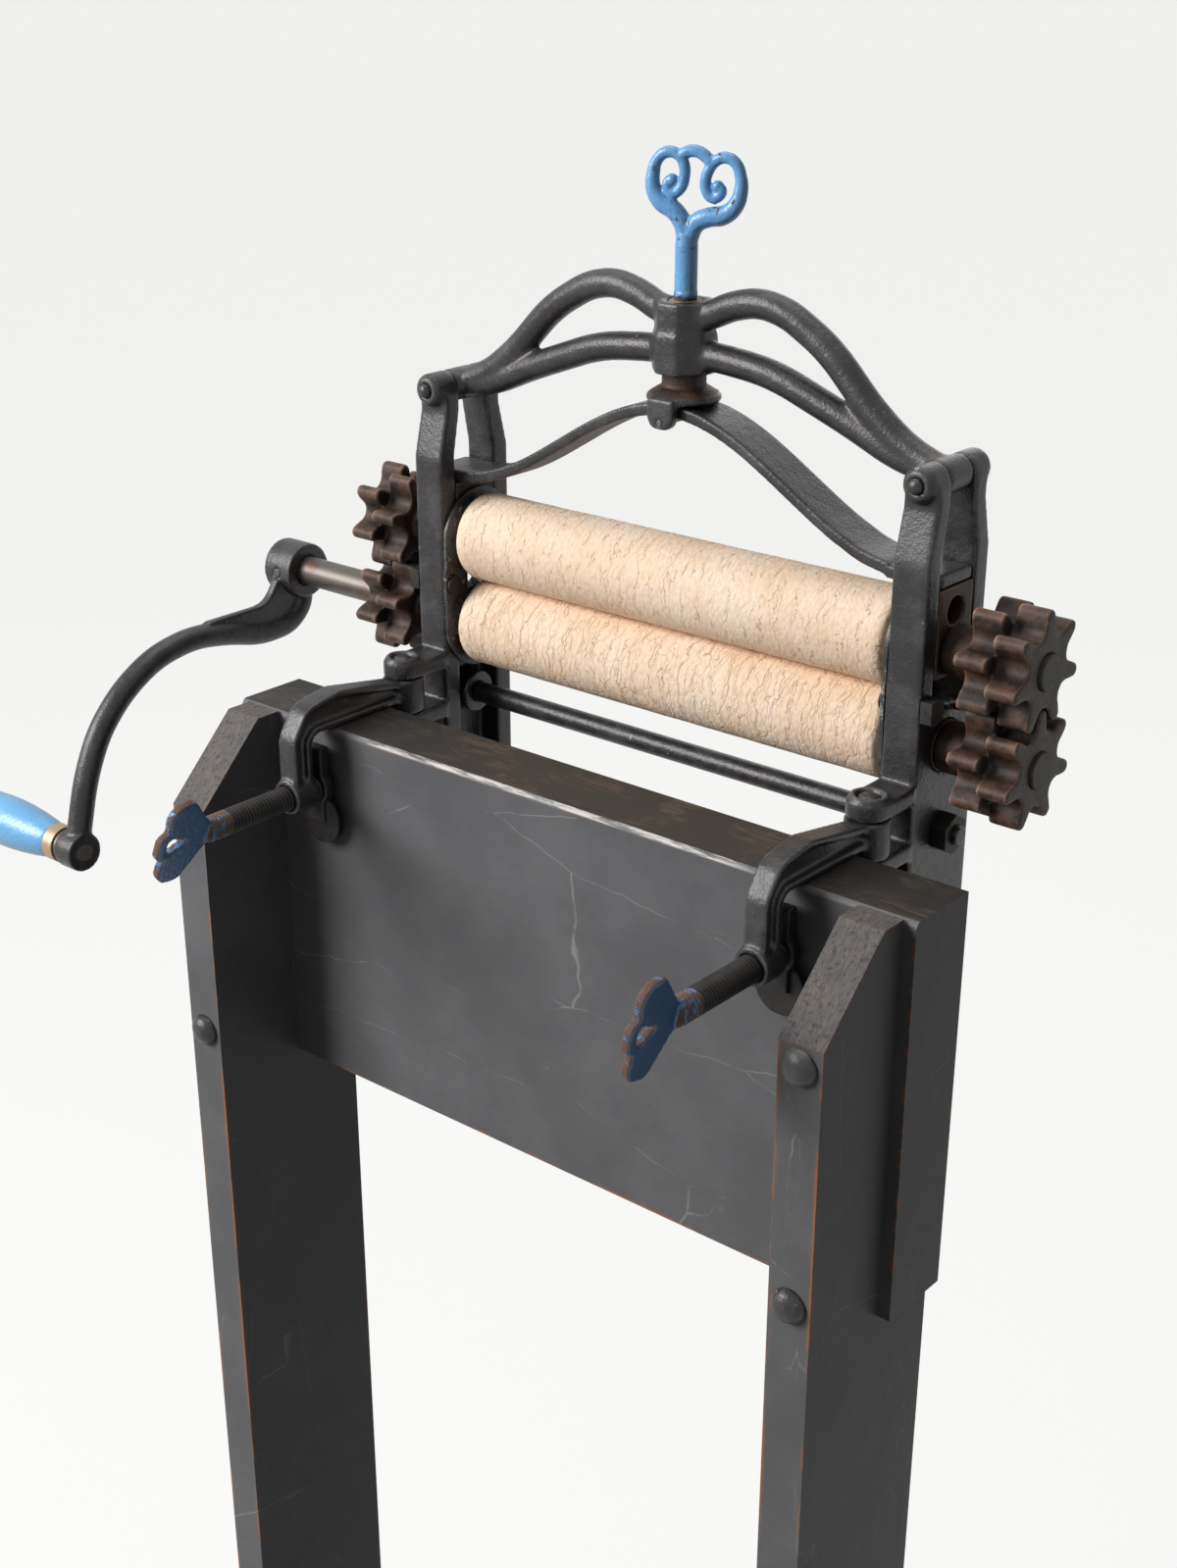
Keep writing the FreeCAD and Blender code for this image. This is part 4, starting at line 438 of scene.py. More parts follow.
def weathered_cut(look):
    """Rough sawn timber, its black paint worn thin: dark grey fibres down the cut, pitted between."""
    material, put, place = new_finish("weathered_sawn_timber")
    fibres = put("Mapping", {"Vector": place, "Scale": (per(1.5), per(5), per(9))})
    fibre = put("TexNoise", {"Vector": fibres, "Scale": 1.0, "Detail": 5.0, "Roughness": 0.7})
    cloud = put("TexNoise", {"Vector": place, "Scale": per(14), "Detail": 4.0})
    rubbed = put("Math", {0: cloud, 1: 0.35, 2: fibre}, **TIMES_PLUS)
    share = put("MapRange", {"Value": rubbed, "From Min": 0.5, "From Max": 0.95}, **SOFT)
    greyed = put("Mix", {0: share, 6: look.board_black, 7: look.old_wood}, **COLOURS)
    pits = put("TexNoise", {"Vector": place, "Scale": per(1.8), "Detail": 3.0})
    dark = put("MapRange", {"Value": pits, "From Min": 0.5, "From Max": 0.7, "To Max": 0.45}, **SOFT)
    pitted = put("Mix", {0: dark, 6: greyed, 7: look.grease}, **COLOURS)
    bump = put("Bump", {"Strength": 0.9, "Distance": 0.8 * MM, "Height": rubbed})
    return surfaced(material, {"Base Color": pitted, "Roughness": 0.75, "Specular IOR Level": 0.2,
                               "Normal": bump})


def worn_and_highlit_strip(look):
    """The board's front top edge: a pale broken line between the clamps, partly rubbed paint and partly a
    painted highlight along the rounded edge.
    """
    material, put, place = new_finish("rubbed_and_highlit_edge")
    stretched = put("Mapping", {"Vector": place, "Scale": (per(26), per(2), per(2))})
    patch = put("TexNoise", {"Vector": stretched, "Scale": 1.0, "Detail": 5.0, "Roughness": 0.7})
    across = put("SeparateXYZ", {0: place}).outputs["X"]
    aside = put("Math", {0: across, 1: MID}, operation="SUBTRACT")
    away = put("Math", {0: aside}, operation="ABSOLUTE")
    used = put("MapRange", {"Value": away, "From Min": ROLL_HALF, "From Max": 0.75 * ROLL_HALF}, **SOFT)
    rubbed = put("MapRange", {"Value": patch, "From Min": 0.42, "From Max": 0.56}, **SOFT)
    # Pale where the paint is rubbed, which also serves as a painted highlight along the upper part of the
    # rounded edge
    pale = put("Math", {0: rubbed, 1: used}, **TIMES)
    grey = put("Mix", {0: pale, 6: look.board_black, 7: look.pale_wear_and_highlight}, **COLOURS)
    upward = put("SeparateXYZ", {0: put("NewGeometry").outputs["Normal"]}).outputs["Z"]
    under = put("MapRange", {"Value": upward, "From Min": 0.5, "From Max": 0.25}, **SOFT)
    lower = put("Math", {0: under, 1: pale}, **TIMES)
    edged = put("Mix", {0: lower, 6: grey, 7: look.bare_wood}, **COLOURS)
    bump = put("Bump", {"Strength": 0.5, "Distance": 0.3 * MM, "Height": patch})
    return surfaced(material, {"Base Color": edged, "Roughness": 0.6, "Normal": bump})


def worn_board_top(look):
    """The board's upper edge: black paint worn into the wood, with brown whorls of grain in places."""
    material, put, place = new_finish("worn_board_top")
    stretched = put("Mapping", {"Vector": place, "Scale": (per(60), per(9), per(9))})
    whorl = put("TexNoise", {"Vector": stretched, "Scale": 1.0, "Detail": 4.0, "Distortion": 1.6})
    rings = put("Math", {0: whorl, 1: 40.0}, **TIMES)
    wave = put("Math", {0: rings}, operation="SINE")
    line = put("MapRange", {"Value": wave, "From Min": -0.2, "From Max": 1.0}, **SOFT)
    cloud = put("TexNoise", {"Vector": place, "Scale": per(24), "Detail": 5.0})
    thin = put("MapRange", {"Value": cloud, "From Min": 0.48, "From Max": 0.66}, **SOFT)
    shown = put("Math", {0: line, 1: thin}, **TIMES)
    brown = put("Mix", {0: shown, 6: look.top_black, 7: look.top_wood}, **COLOURS)
    bump = put("Bump", {"Strength": 0.3, "Distance": 0.3 * MM, "Height": whorl})
    return surfaced(material, {"Base Color": brown, "Roughness": 0.5, "Specular IOR Level": 0.3,
                               "Normal": bump})


FINISHES = {
    "japanned_iron": japanned_iron,
    "rusty_iron": lambda look: rusty_iron(look, "brown_rust_on_cast_iron", look.rust_dark, look.rust,
                                          look.rust_dust, 0.85),
    "worn_iron": lambda look: rusty_iron(look, "worn_dark_iron", look.rust_dark, look.steel,
                                         look.rust_dust, 0.3),
    # Oiled dark iron; on the clamp jaws it also serves as painted shade, darkening them to the shadow they
    # sit in
    "oiled_iron_and_painted_jaw_shade": lambda look: rusty_iron(look, "oiled_dark_iron_and_painted_jaw_shade", look.grease, look.thread,
                                          look.bare_iron, 0.05),
    "shaft_steel": shaft_steel,
    "worn_brass": worn_brass,
    "firm_rubber": lambda look: cracked_rubber(look, "dry_tan_rubber", 0.02),
    "broken_rubber": lambda look: cracked_rubber(look, "crazed_tan_rubber", 0.08),
    "sky_blue_paint": lambda look: chipped_paint(look, "sky_blue_oil_paint", look.sky_blue, 0.61),
    "deep_blue_paint": lambda look: chipped_paint(look, "deep_blue_oil_paint", look.deep_blue, 0.70),
    "worn_blue_rim": lambda look: chipped_paint(look, "deep_blue_paint_worn_to_rust", look.deep_blue, 0.45),
    "blue_handle": lambda look: chipped_paint(look, "sky_blue_paint_on_wood", look.handle_blue, 0.80),
    "upright_timber": lambda look: painted_timber(look, "black_paint_on_upright_timber", "Z"),
    "board_timber": lambda look: painted_timber(look, "black_paint_on_board", "X"),
    "foot_timber": lambda look: painted_timber(look, "black_paint_on_foot_timber", "Y"),
    "weathered_cut": weathered_cut,
    "worn_and_highlit_strip": worn_and_highlit_strip,
    "worn_board_top": worn_board_top,
}
made_finishes = {}


def finish(name):
    """The named finish, made the first time that it is asked for."""
    if name not in made_finishes:
        made_finishes[name] = FINISHES[name](bpy.context.scene.wringer_colours)
    return made_finishes[name]


def fresh_copy(node):
    """A CAD node's shape as a bmesh of its own, its triangles merged."""
    shape = bmesh.new()
    shape.from_mesh(frame["nodes"][node].data)
    bmesh.ops.remove_doubles(shape, verts=shape.verts, dist=MERGE)
    return shape


def joined(*shapes):
    whole = bmesh.new()
    for shape in shapes:
        mesh = bpy.data.meshes.new("part")
        shape.to_mesh(mesh)
        shape.free()
        whole.from_mesh(mesh)
        bpy.data.meshes.remove(mesh)
    return whole


def as_cast(shape, grain, rounds):
    """Fuses a shape into one skin of a mesh size and smooths it, so that corners round off as cast."""
    mesh = bpy.data.meshes.new("blank")
    shape.to_mesh(mesh)
    shape.free()
    blank = bpy.data.objects.new("blank", mesh)
    bpy.context.scene.collection.objects.link(blank)
    skin = blank.modifiers.new("skin", "REMESH")
    skin.mode = "VOXEL"
    skin.voxel_size = grain
    soften = blank.modifiers.new("soften", "SMOOTH")
    soften.factor = 0.5
    soften.iterations = rounds
    settled = bpy.data.meshes.new_from_object(blank.evaluated_get(bpy.context.evaluated_depsgraph_get()))
    cast = bmesh.new()
    cast.from_mesh(settled)
    bpy.data.objects.remove(blank)
    bpy.data.meshes.remove(mesh)
    bpy.data.meshes.remove(settled)
    return cast


def eased(shape, width, segments=2, sharper_than=35):
    """Rounds every edge that is sharper than an angle."""
    bmesh.ops.dissolve_limit(shape, angle_limit=math.radians(1), verts=shape.verts, edges=shape.edges)
    sharp = [edge for edge in shape.edges
             if edge.is_manifold and edge.calc_face_angle() > math.radians(sharper_than)]
    return bevelled(shape, sharp, width, segments)


def bevelled(shape, edges, width, segments):
    bmesh.ops.bevel(shape, geom=edges, offset=width, offset_type="OFFSET", segments=segments, profile=0.5,
                    affect="EDGES", material=-1, clamp_overlap=True)
    return shape


def moved(shape, matrix):
    bmesh.ops.transform(shape, matrix=matrix, verts=shape.verts)
    return shape


def stood(shape, place, axis):
    """Turns a shape's own Z to an axis and sets it at a place."""
    turn = Z.rotation_difference(axis).to_matrix().to_4x4()
    return moved(shape, Matrix.Translation(place) @ turn)


def lathe(profile, steps=64, closed=False):
    """A turned shape about Z: (radius, height) corners in metres, spun a full turn."""
    shape = bmesh.new()
    corners = [shape.verts.new((radius, 0, height)) for radius, height in profile]
    pairs = list(zip(corners, corners[1:])) + ([(corners[-1], corners[0])] if closed else [])
    lines = [shape.edges.new(pair) for pair in pairs]
    bmesh.ops.spin(shape, geom=corners + lines, cent=(0, 0, 0), axis=Z, angle=FULL_TURN, steps=steps,
                   use_merge=True, use_duplicate=False)
    bmesh.ops.remove_doubles(shape, verts=shape.verts, dist=MERGE)
    bmesh.ops.recalc_face_normals(shape, faces=shape.faces)
    return shape


def turned_end(profile):
    """A small turned shape from corners in millimetres."""
    return lathe([(radius * MM, height * MM) for radius, height in profile], steps=32)


def threaded_rod(radius, depth, pitch, height, steps=24):
    """A screw thread about Z from 0 to a height, cut square at both ends."""
    shape = bmesh.new()
    core = radius - depth
    turns = math.ceil(height / pitch) + 3
    profile = [(core, 0), (core, 0.12), (radius, 0.42), (radius, 0.58), (core, 0.88), (core, 1)]
    corners = [shape.verts.new((across, 0, (along - 2) * pitch)) for across, along in profile]
    lines = [shape.edges.new(pair) for pair in zip(corners, corners[1:])]
    bmesh.ops.spin(shape, geom=corners + lines, cent=(0, 0, 0), axis=Z, dvec=(0, 0, pitch / steps),
                   angle=FULL_TURN * turns, steps=steps * turns, use_merge=False, use_duplicate=False)
    bmesh.ops.remove_doubles(shape, verts=shape.verts, dist=MERGE)
    for cut, outward in ((0, -Z), (height, Z)):
        whole = shape.verts[:] + shape.edges[:] + shape.faces[:]
        bmesh.ops.bisect_plane(shape, geom=whole, plane_co=(0, 0, cut), plane_no=outward, clear_outer=True)
        rim = [edge for edge in shape.edges
               if edge.is_boundary and all(abs(corner.co.z - cut) < MERGE for corner in edge.verts)]
        bmesh.ops.contextual_create(shape, geom=rim)
    bmesh.ops.recalc_face_normals(shape, faces=shape.faces)
    return shape


def strand(points, widths):
    """A round bar along a smooth line of points, with a diameter at each point."""
    line = bpy.data.curves.new("strand", "CURVE")
    line.dimensions = "3D"
    line.bevel_depth = 0.5
    line.bevel_resolution = 6
    line.use_fill_caps = True
    spline = line.splines.new("BEZIER")
    spline.bezier_points.add(len(points) - 1)
    for spot, place, width in zip(spline.bezier_points, points, widths):
        spot.co = place
        spot.radius = width
        spot.handle_left_type = "AUTO"
        spot.handle_right_type = "AUTO"
    spline.resolution_u = 6
    holder = bpy.data.objects.new("strand", line)
    mesh = bpy.data.meshes.new_from_object(holder)
    shape = bmesh.new()
    shape.from_mesh(mesh)
    bpy.data.objects.remove(holder)
    bpy.data.curves.remove(line)
    bpy.data.meshes.remove(mesh)
    bmesh.ops.remove_doubles(shape, verts=shape.verts, dist=MERGE)
    bmesh.ops.recalc_face_normals(shape, faces=shape.faces)
    return shape


def ball(place, diameter):
    shape = bmesh.new()
    bmesh.ops.create_icosphere(shape, subdivisions=3, radius=diameter / 2, matrix=Matrix.Translation(place))
    return shape


def coated(shape, index):
    """Gives every face of a shape one of its piece's finishes."""
    for face in shape.faces:
        face.material_index = index
    return shape


def dress(node, shape, finishes, suffix, smooth_angle=40, even=False):
    """Makes a finished piece that stands for a CAD node and moves with the node's body."""
    mesh = bpy.data.meshes.new(f"{node}_{suffix}")
    shape.to_mesh(mesh)
    shape.free()
    for name in finishes:
        mesh.materials.append(finish(name))
    mesh.polygons.foreach_set("use_smooth", [True] * len(mesh.polygons))
    mesh.set_sharp_from_angle(angle=math.radians(smooth_angle))
    piece = bpy.data.objects.new(f"{node}_{suffix}", mesh)
    bpy.context.scene.collection.objects.link(piece)
    if even:
        shading = piece.modifiers.new("even_shading", "WEIGHTED_NORMAL")
        shading.keep_sharp = True
    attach(piece, BODY_OF[node])
    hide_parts(node)
    return piece


class WRINGER_OT_stage(bpy.types.Operator):
    """Floor, soft studio light and the camera"""
    bl_idname = "wringer.stage"
    bl_label = "Stage"

    def execute(self, context):
        look = context.scene.wringer_colours
        shape = bmesh.new()
        bmesh.ops.create_grid(shape, x_segments=1, y_segments=1, size=FLOOR_HALF)
        mesh = bpy.data.meshes.new("studio_floor")
        shape.to_mesh(mesh)
        shape.free()
        floor = bpy.data.objects.new("studio_floor", mesh)
        context.scene.collection.objects.link(floor)
        mesh.materials.append(self.floor_finish(look))
        self.light_world(look)
        for name, place, aim, size, power in LAMPS:
            data = bpy.data.lights.new(name, "AREA")
            data.size = size
            data.energy = power
            lamp = bpy.data.objects.new(name, data)
            lamp.location = place
            lamp.rotation_euler = (Vector(aim) - Vector(place)).to_track_quat("-Z", "Y").to_euler()
            context.scene.collection.objects.link(lamp)
        self.set_camera(context)
        context.scene.view_settings.view_transform = "Standard"
        return {"FINISHED"}

    def seen(self, put):
        """1 for rays that show the background itself: from the camera, a reflection or glass."""
        path = put("LightPath")
        shown = put("Math", {0: path.outputs["Is Camera Ray"], 1: path.outputs["Is Glossy Ray"]}, **LARGER)
        return put("Math", {0: shown, 1: path.outputs["Is Transmission Ray"]}, **LARGER)

    def floor_finish(self, look):
        """Matt white studio floor that keeps a soft shadow."""
        material, put, _ = new_finish("matt_white_floor")
        seen = self.seen(put)
        tone = put("Mix", {0: seen, 6: look.floor_shade, 7: look.floor}, **COLOURS)
        matt = put("BsdfPrincipled", {"Base Color": tone, "Roughness": 0.9})
        glow = put("Emission", {"Color": look.floor, "Strength": 1.0})
        share = put("Math", {0: seen, 1: GLOW}, **TIMES)
        mix = put("MixShader", {0: share, 1: matt, 2: glow})
        put("OutputMaterial", {"Surface": mix})
        return material

    def light_world(self, look):
        world = bpy.data.worlds.new("studio")
        bpy.context.scene.world = world
        world.use_nodes = True
        world.node_tree.nodes.clear()
        put = partial(add, world.node_tree)
        soft = put("Background", {"Color": (1, 1, 1), "Strength": 0.05})
        shown = put("Background", {"Color": look.floor, "Strength": GLOW})
        mix = put("MixShader", {0: self.seen(put), 1: soft, 2: shown})
        put("OutputWorld", {"Surface": mix})

    def set_camera(self, context):
        """The photograph's view."""
        data = bpy.data.cameras.new("photo_view")
        data.sensor_fit = "VERTICAL"
        data.sensor_height = SENSOR_HEIGHT
        data.lens = CAMERA_LENS
        data.shift_y = CAMERA_SHIFT
        camera = bpy.data.objects.new("photo_view", data)
        camera.location = Vector((MID, BOARD_LOW.y, BOARD_HIGH.z)) + CAMERA_PLACE
        camera.rotation_euler = CAMERA_TURN
        context.scene.collection.objects.link(camera)
        context.scene.camera = camera


class WRINGER_OT_timber(bpy.types.Operator):
    """Legs, feet, cross board and lower stretcher"""
    bl_idname = "wringer.timber"
    bl_label = "Timber"

    def execute(self, context):
        edge = context.scene.wringer_sizes.timber_edge
        for side in SIDES:
            leg = eased(fresh_copy(f"{side}_leg"), edge, 3)
            for face in leg.faces:
                sloping = face.normal.y < -0.3 and face.normal.z > 0.3
                face.material_index = 1 if sloping or face.normal.z > 0.9 else 0
            dress(f"{side}_leg", leg, ["upright_timber", "weathered_cut"], "plank", even=True)
            foot = eased(fresh_copy(f"{side}_foot"), edge, 3)
            dress(f"{side}_foot", foot, ["foot_timber"], "sled", even=True)
        board = fresh_copy("cross_board")
        bmesh.ops.dissolve_limit(board, angle_limit=math.radians(1), verts=board.verts, edges=board.edges)
        front_edge = [line for line in board.edges if all(
            abs(end.co.y - BOARD_LOW.y) < MERGE and abs(end.co.z - BOARD_HIGH.z) < MERGE
            for end in line.verts)]
        board = eased(bevelled(board, front_edge, 2 * edge, 5), edge, 3)
        for face in board.faces:
            if face.normal.z > 0.9:
                face.material_index = 1
            # The rounded front top edge takes the pale strip, which is partly rubbed paint and partly
            # painted highlight
            elif face.normal.z > 0.2 and face.normal.y < -0.2:
                face.material_index = 2
        dress("cross_board", board, ["board_timber", "worn_board_top", "worn_and_highlit_strip"], "plank", even=True)
        rail = eased(fresh_copy("lower_stretcher"), edge, 3)
        dress("lower_stretcher", rail, ["board_timber"], "rail", even=True)
        pegs = eased(fresh_copy("foot_pegs"), edge / 2, 2)
        dress("foot_pegs", pegs, ["foot_timber"], "dowels", even=True)
        return {"FINISHED"}


class WRINGER_OT_fasteners(bpy.types.Operator):
    """Bolts, nuts, washers, screws and pins"""
    bl_idname = "wringer.fasteners"
    bl_label = "Fasteners"

    def execute(self, context):
        fine = context.scene.wringer_sizes.fine_edge
        for node, finish_name in (
            ("carriage_bolts", "japanned_iron"),
            ("stretcher_screws", "rusty_iron"),
            ("bolt_washers", "rusty_iron"),
            ("bolt_nuts", "rusty_iron"),
            ("stretcher_nuts", "oiled_iron_and_painted_jaw_shade"),
            ("guard_bolts", "oiled_iron_and_painted_jaw_shade"),
            ("top_bar_pins", "japanned_iron"),
            ("clamp_pins", "japanned_iron"),
            ("crank_cross_pin", "shaft_steel"),
            ("saddle_pin", "shaft_steel"),
        ):
            dress(node, eased(fresh_copy(node), fine, 2), [finish_name], "fastener", even=True)
        return {"FINISHED"}


class WRINGER_OT_side_frames(bpy.types.Operator):
    """The two forked side castings"""
    bl_idname = "wringer.side_frames"
    bl_label = "Side frames"

    def execute(self, context):
        sizes = context.scene.wringer_sizes
        for side in SIDES:
            node = f"{side}_side_frame"
            shape = as_cast(fresh_copy(node), sizes.frame_grain, sizes.cast_rounds)
            dress(node, shape, ["japanned_iron"], "casting", smooth_angle=180)
        return {"FINISHED"}


class WRINGER_OT_top_bar(bpy.types.Operator):
    """The trussed bar over the spring, with its eight-sided screw boss"""
    bl_idname = "wringer.top_bar"
    bl_label = "Top bar"

    def execute(self, context):
        sizes = context.scene.wringer_sizes
        shape = as_cast(fresh_copy("top_bar"), sizes.frame_grain, 2 * sizes.cast_rounds)
        dress("top_bar", shape, ["japanned_iron"], "casting", smooth_angle=180)
        return {"FINISHED"}


class WRINGER_OT_fittings(bpy.types.Operator):
    """Stretcher rod, bushes and end guards between the side frames"""
    bl_idname = "wringer.fittings"
    bl_label = "Frame fittings"

    def execute(self, context):
        sizes = context.scene.wringer_sizes
        for node, finish_name in (
            ("left_lower_bush", "rusty_iron"),
            ("right_lower_bush", "rusty_iron"),
            ("left_end_guard", "japanned_iron"),
            ("right_end_guard", "japanned_iron"),
        ):
            dress(node, eased(fresh_copy(node), sizes.fine_edge, 2), [finish_name], "fitting", even=True)
        rod = as_cast(fresh_copy("stretcher_rod"), sizes.small_grain, sizes.cast_rounds)
        dress("stretcher_rod", rod, ["japanned_iron"], "fitting", smooth_angle=180)
        return {"FINISHED"}


class WRINGER_OT_rolls(bpy.types.Operator):
    """Rubber rolls on their steel shafts, and the sliding bearing blocks"""
    bl_idname = "wringer.rolls"
    bl_label = "Rolls"

    def execute(self, context):
        sizes = context.scene.wringer_sizes
        for name, finish_name in (("lower", "broken_rubber"), ("upper", "firm_rubber")):
            self.rubber(f"{name}_roll_rubber", sizes, finish_name)
            shaft = eased(fresh_copy(f"{name}_roll_shaft"), 2 * sizes.fine_edge, 2)
            for face in shaft.faces:
                face.material_index = 1 if face.calc_center_median().x > MID + ROLL_HALF else 0
            dress(f"{name}_roll_shaft", shaft, ["shaft_steel", "oiled_iron_and_painted_jaw_shade"], "turning", even=True)
        for side in SIDES:
            node = f"{side}_bearing_block"
            block = as_cast(fresh_copy(node), sizes.small_grain, sizes.cast_rounds)
            dress(node, block, ["rusty_iron"], "casting", smooth_angle=180)
        return {"FINISHED"}

    def rubber(self, node, sizes, finish_name):
        low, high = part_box(node)
        radius = (high.z - low.z) / 2
        half = (high.x - low.x) / 2
        bore = radius - RUBBER_WALL
        lip = radius - RUBBER_LIP
        corner_radius = radius - RUBBER_CORNER
        straight = half - RUBBER_LIP
        profile = [(bore, -half), (lip, -half), (corner_radius, RUBBER_CORNER - half)]
        profile += [(radius, (2 * ring / RUBBER_RINGS - 1) * straight) for ring in range(RUBBER_RINGS + 1)]
        profile += [(corner_radius, half - RUBBER_CORNER), (lip, half), (bore, half)]
        shape = lathe(profile, steps=RUBBER_STEPS, closed=True)
        for corner in shape.verts:
            out = Vector((corner.co.x, corner.co.y, 0))
            if out.length > radius - RUBBER_SKIN:
                swell = noise.noise(corner.co * per(WAVER_LENGTH)) * sizes.roll_waver
                corner.co -= out.normalized() * (abs(swell) + WAVER_LEAST)
        dress(node, stood(shape, middle(node), X), [finish_name], "turning")


class WRINGER_OT_pressure_gear(bpy.types.Operator):
    """Bow spring, saddle and the scroll-keyed pressure screw"""
    bl_idname = "wringer.pressure_gear"
    bl_label = "Pressure gear"

    def execute(self, context):
        sizes = context.scene.wringer_sizes
        leaf = as_cast(fresh_copy("bow_spring"), sizes.small_grain, 3 * sizes.cast_rounds)
        for face in leaf.faces:
            face.material_index = 1 if face.normal.z < -0.6 else 0
        spring = dress("bow_spring", leaf, ["japanned_iron", "rusty_iron"], "leaf", smooth_angle=180)
        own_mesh(spring)
        saddle = as_cast(fresh_copy("saddle"), sizes.small_grain, 4 * sizes.cast_rounds)
        neck_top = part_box("saddle")[1].z
        neck_start = neck_top - SADDLE_RUST
        for corner in saddle.verts:
            # Slimmer and shorter towards the top, so that the raised neck stays clear inside the screw boss
            share = min(1, max(0, (corner.co.z - neck_top + SADDLE_SLIM) / SADDLE_EASE))
            out = corner.co - SCREW_AXIS
            corner.co -= (Vector((out.x, out.y, 0)) * SADDLE_TAPER + Z * SADDLE_DROP) * share
        for face in saddle.faces:
            face.material_index = 1 if face.calc_center_median().z > neck_start else 0
        dress("saddle", saddle, ["japanned_iron", "rusty_iron"], "casting", smooth_angle=180)
        self.screw(sizes)
        return {"FINISHED"}

    def screw(self, sizes):
        """The screw's thread and its key above, whose two strands curl inwards under a small arch."""
        shapes = []
        for points in (KEY_LEFT, KEY_RIGHT):
            spots = [Vector((across, 0, up)) * MM for across, up in points]
            shares = [index / (len(spots) - 1) for index in range(len(spots))]
            shapes.append(strand(spots, [self.strand_width(share) for share in shares]))
            shapes.append(ball(spots[-1], KEY_CURL))
        spots = [Vector((across, 0, up)) * MM for across, up in KEY_ARCH]
        shapes.append(strand(spots, [KEY_CURL] * len(spots)))
        shapes.append(turned_end(KEY_STEM))
        place = Matrix.Translation(SCREW_AXIS + Z * HUB_TOP) @ Matrix.Rotation(KEY_TURN, 4, "Z")
        key = moved(as_cast(joined(*shapes), KEY_GRAIN, KEY_ROUNDS), place)
        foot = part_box("pressure_screw")[0].z
        start = foot + PRESS_END
        thread = threaded_rod(PRESS_RADIUS, sizes.thread_depth, sizes.press_pitch, HUB_TOP - start)
        thread = stood(thread, SCREW_AXIS + Z * start, Z)
        tip = stood(turned_end(PRESS_TIP), SCREW_AXIS + Z * foot, Z)
        collar = stood(turned_end(PRESS_COLLAR), SCREW_AXIS + Z * HUB_TOP, Z)
        whole = joined(coated(key, 0), coated(thread, 1), coated(tip, 1), coated(collar, 1))
        dress("pressure_screw", whole, ["sky_blue_paint", "rusty_iron"], "scroll_key", smooth_angle=50)

    def strand_width(self, share):
        """A strand's thickness at a share of its length: stout at the fork, thinner towards the curl."""
        return (min(8.8, max(5.4, 13.3 - 18.9 * share)) - max(0, share - 0.42)) * MM


class WRINGER_OT_gears(bpy.types.Operator):
    """The four double-rowed gears"""
    bl_idname = "wringer.gears"
    bl_label = "Gears"

    def execute(self, context):
        sizes = context.scene.wringer_sizes
        for side in SIDES:
            for level in ("upper", "lower"):
                node = f"{side}_{level}_gear"
                gear = as_cast(fresh_copy(node), sizes.small_grain, 3 * sizes.cast_rounds)
                for face in gear.faces:
                    face.material_index = 1 if face.normal.x * SIDES[side] > 0.9 else 0
                dress(node, gear, ["rusty_iron", "worn_iron"], "casting", smooth_angle=180)
        return {"FINISHED"}


class WRINGER_OT_crank(bpy.types.Operator):
    """The swan-necked crank and its turning handle"""
    bl_idname = "wringer.crank"
    bl_label = "Crank"

    def execute(self, context):
        sizes = context.scene.wringer_sizes
        arm = as_cast(fresh_copy("crank_arm"), sizes.small_grain, 2 * sizes.cast_rounds)
        dress("crank_arm", arm, ["japanned_iron"], "casting", smooth_angle=180)
        for node, finish_name in (("handle_spindle", "shaft_steel"), ("handle_ferrule", "worn_brass")):
            dress(node, eased(fresh_copy(node), sizes.fine_edge, 2), [finish_name], "turning", even=True)
        self.handle()
        return {"FINISHED"}

    def handle(self):
        low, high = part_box("crank_handle")
        radius = (high.z - low.z) / 2
        span = high.x - low.x
        belly = [(radius * swell, span * along) for swell, along in HANDLE_BELLY]
        profile = [(HANDLE_BORE, 0)] + belly + [(HANDLE_BORE, span)]
        shape = lathe(profile, steps=48, closed=True)
        shape = stood(shape, Vector((high.x, (low.y + high.y) / 2, (low.z + high.z) / 2)), -X)
        piece = dress("crank_handle", shape, ["blue_handle"], "turning", smooth_angle=50)
        round_off = piece.modifiers.new("round_off", "SUBSURF")
        round_off.levels = 2
        round_off.render_levels = 2


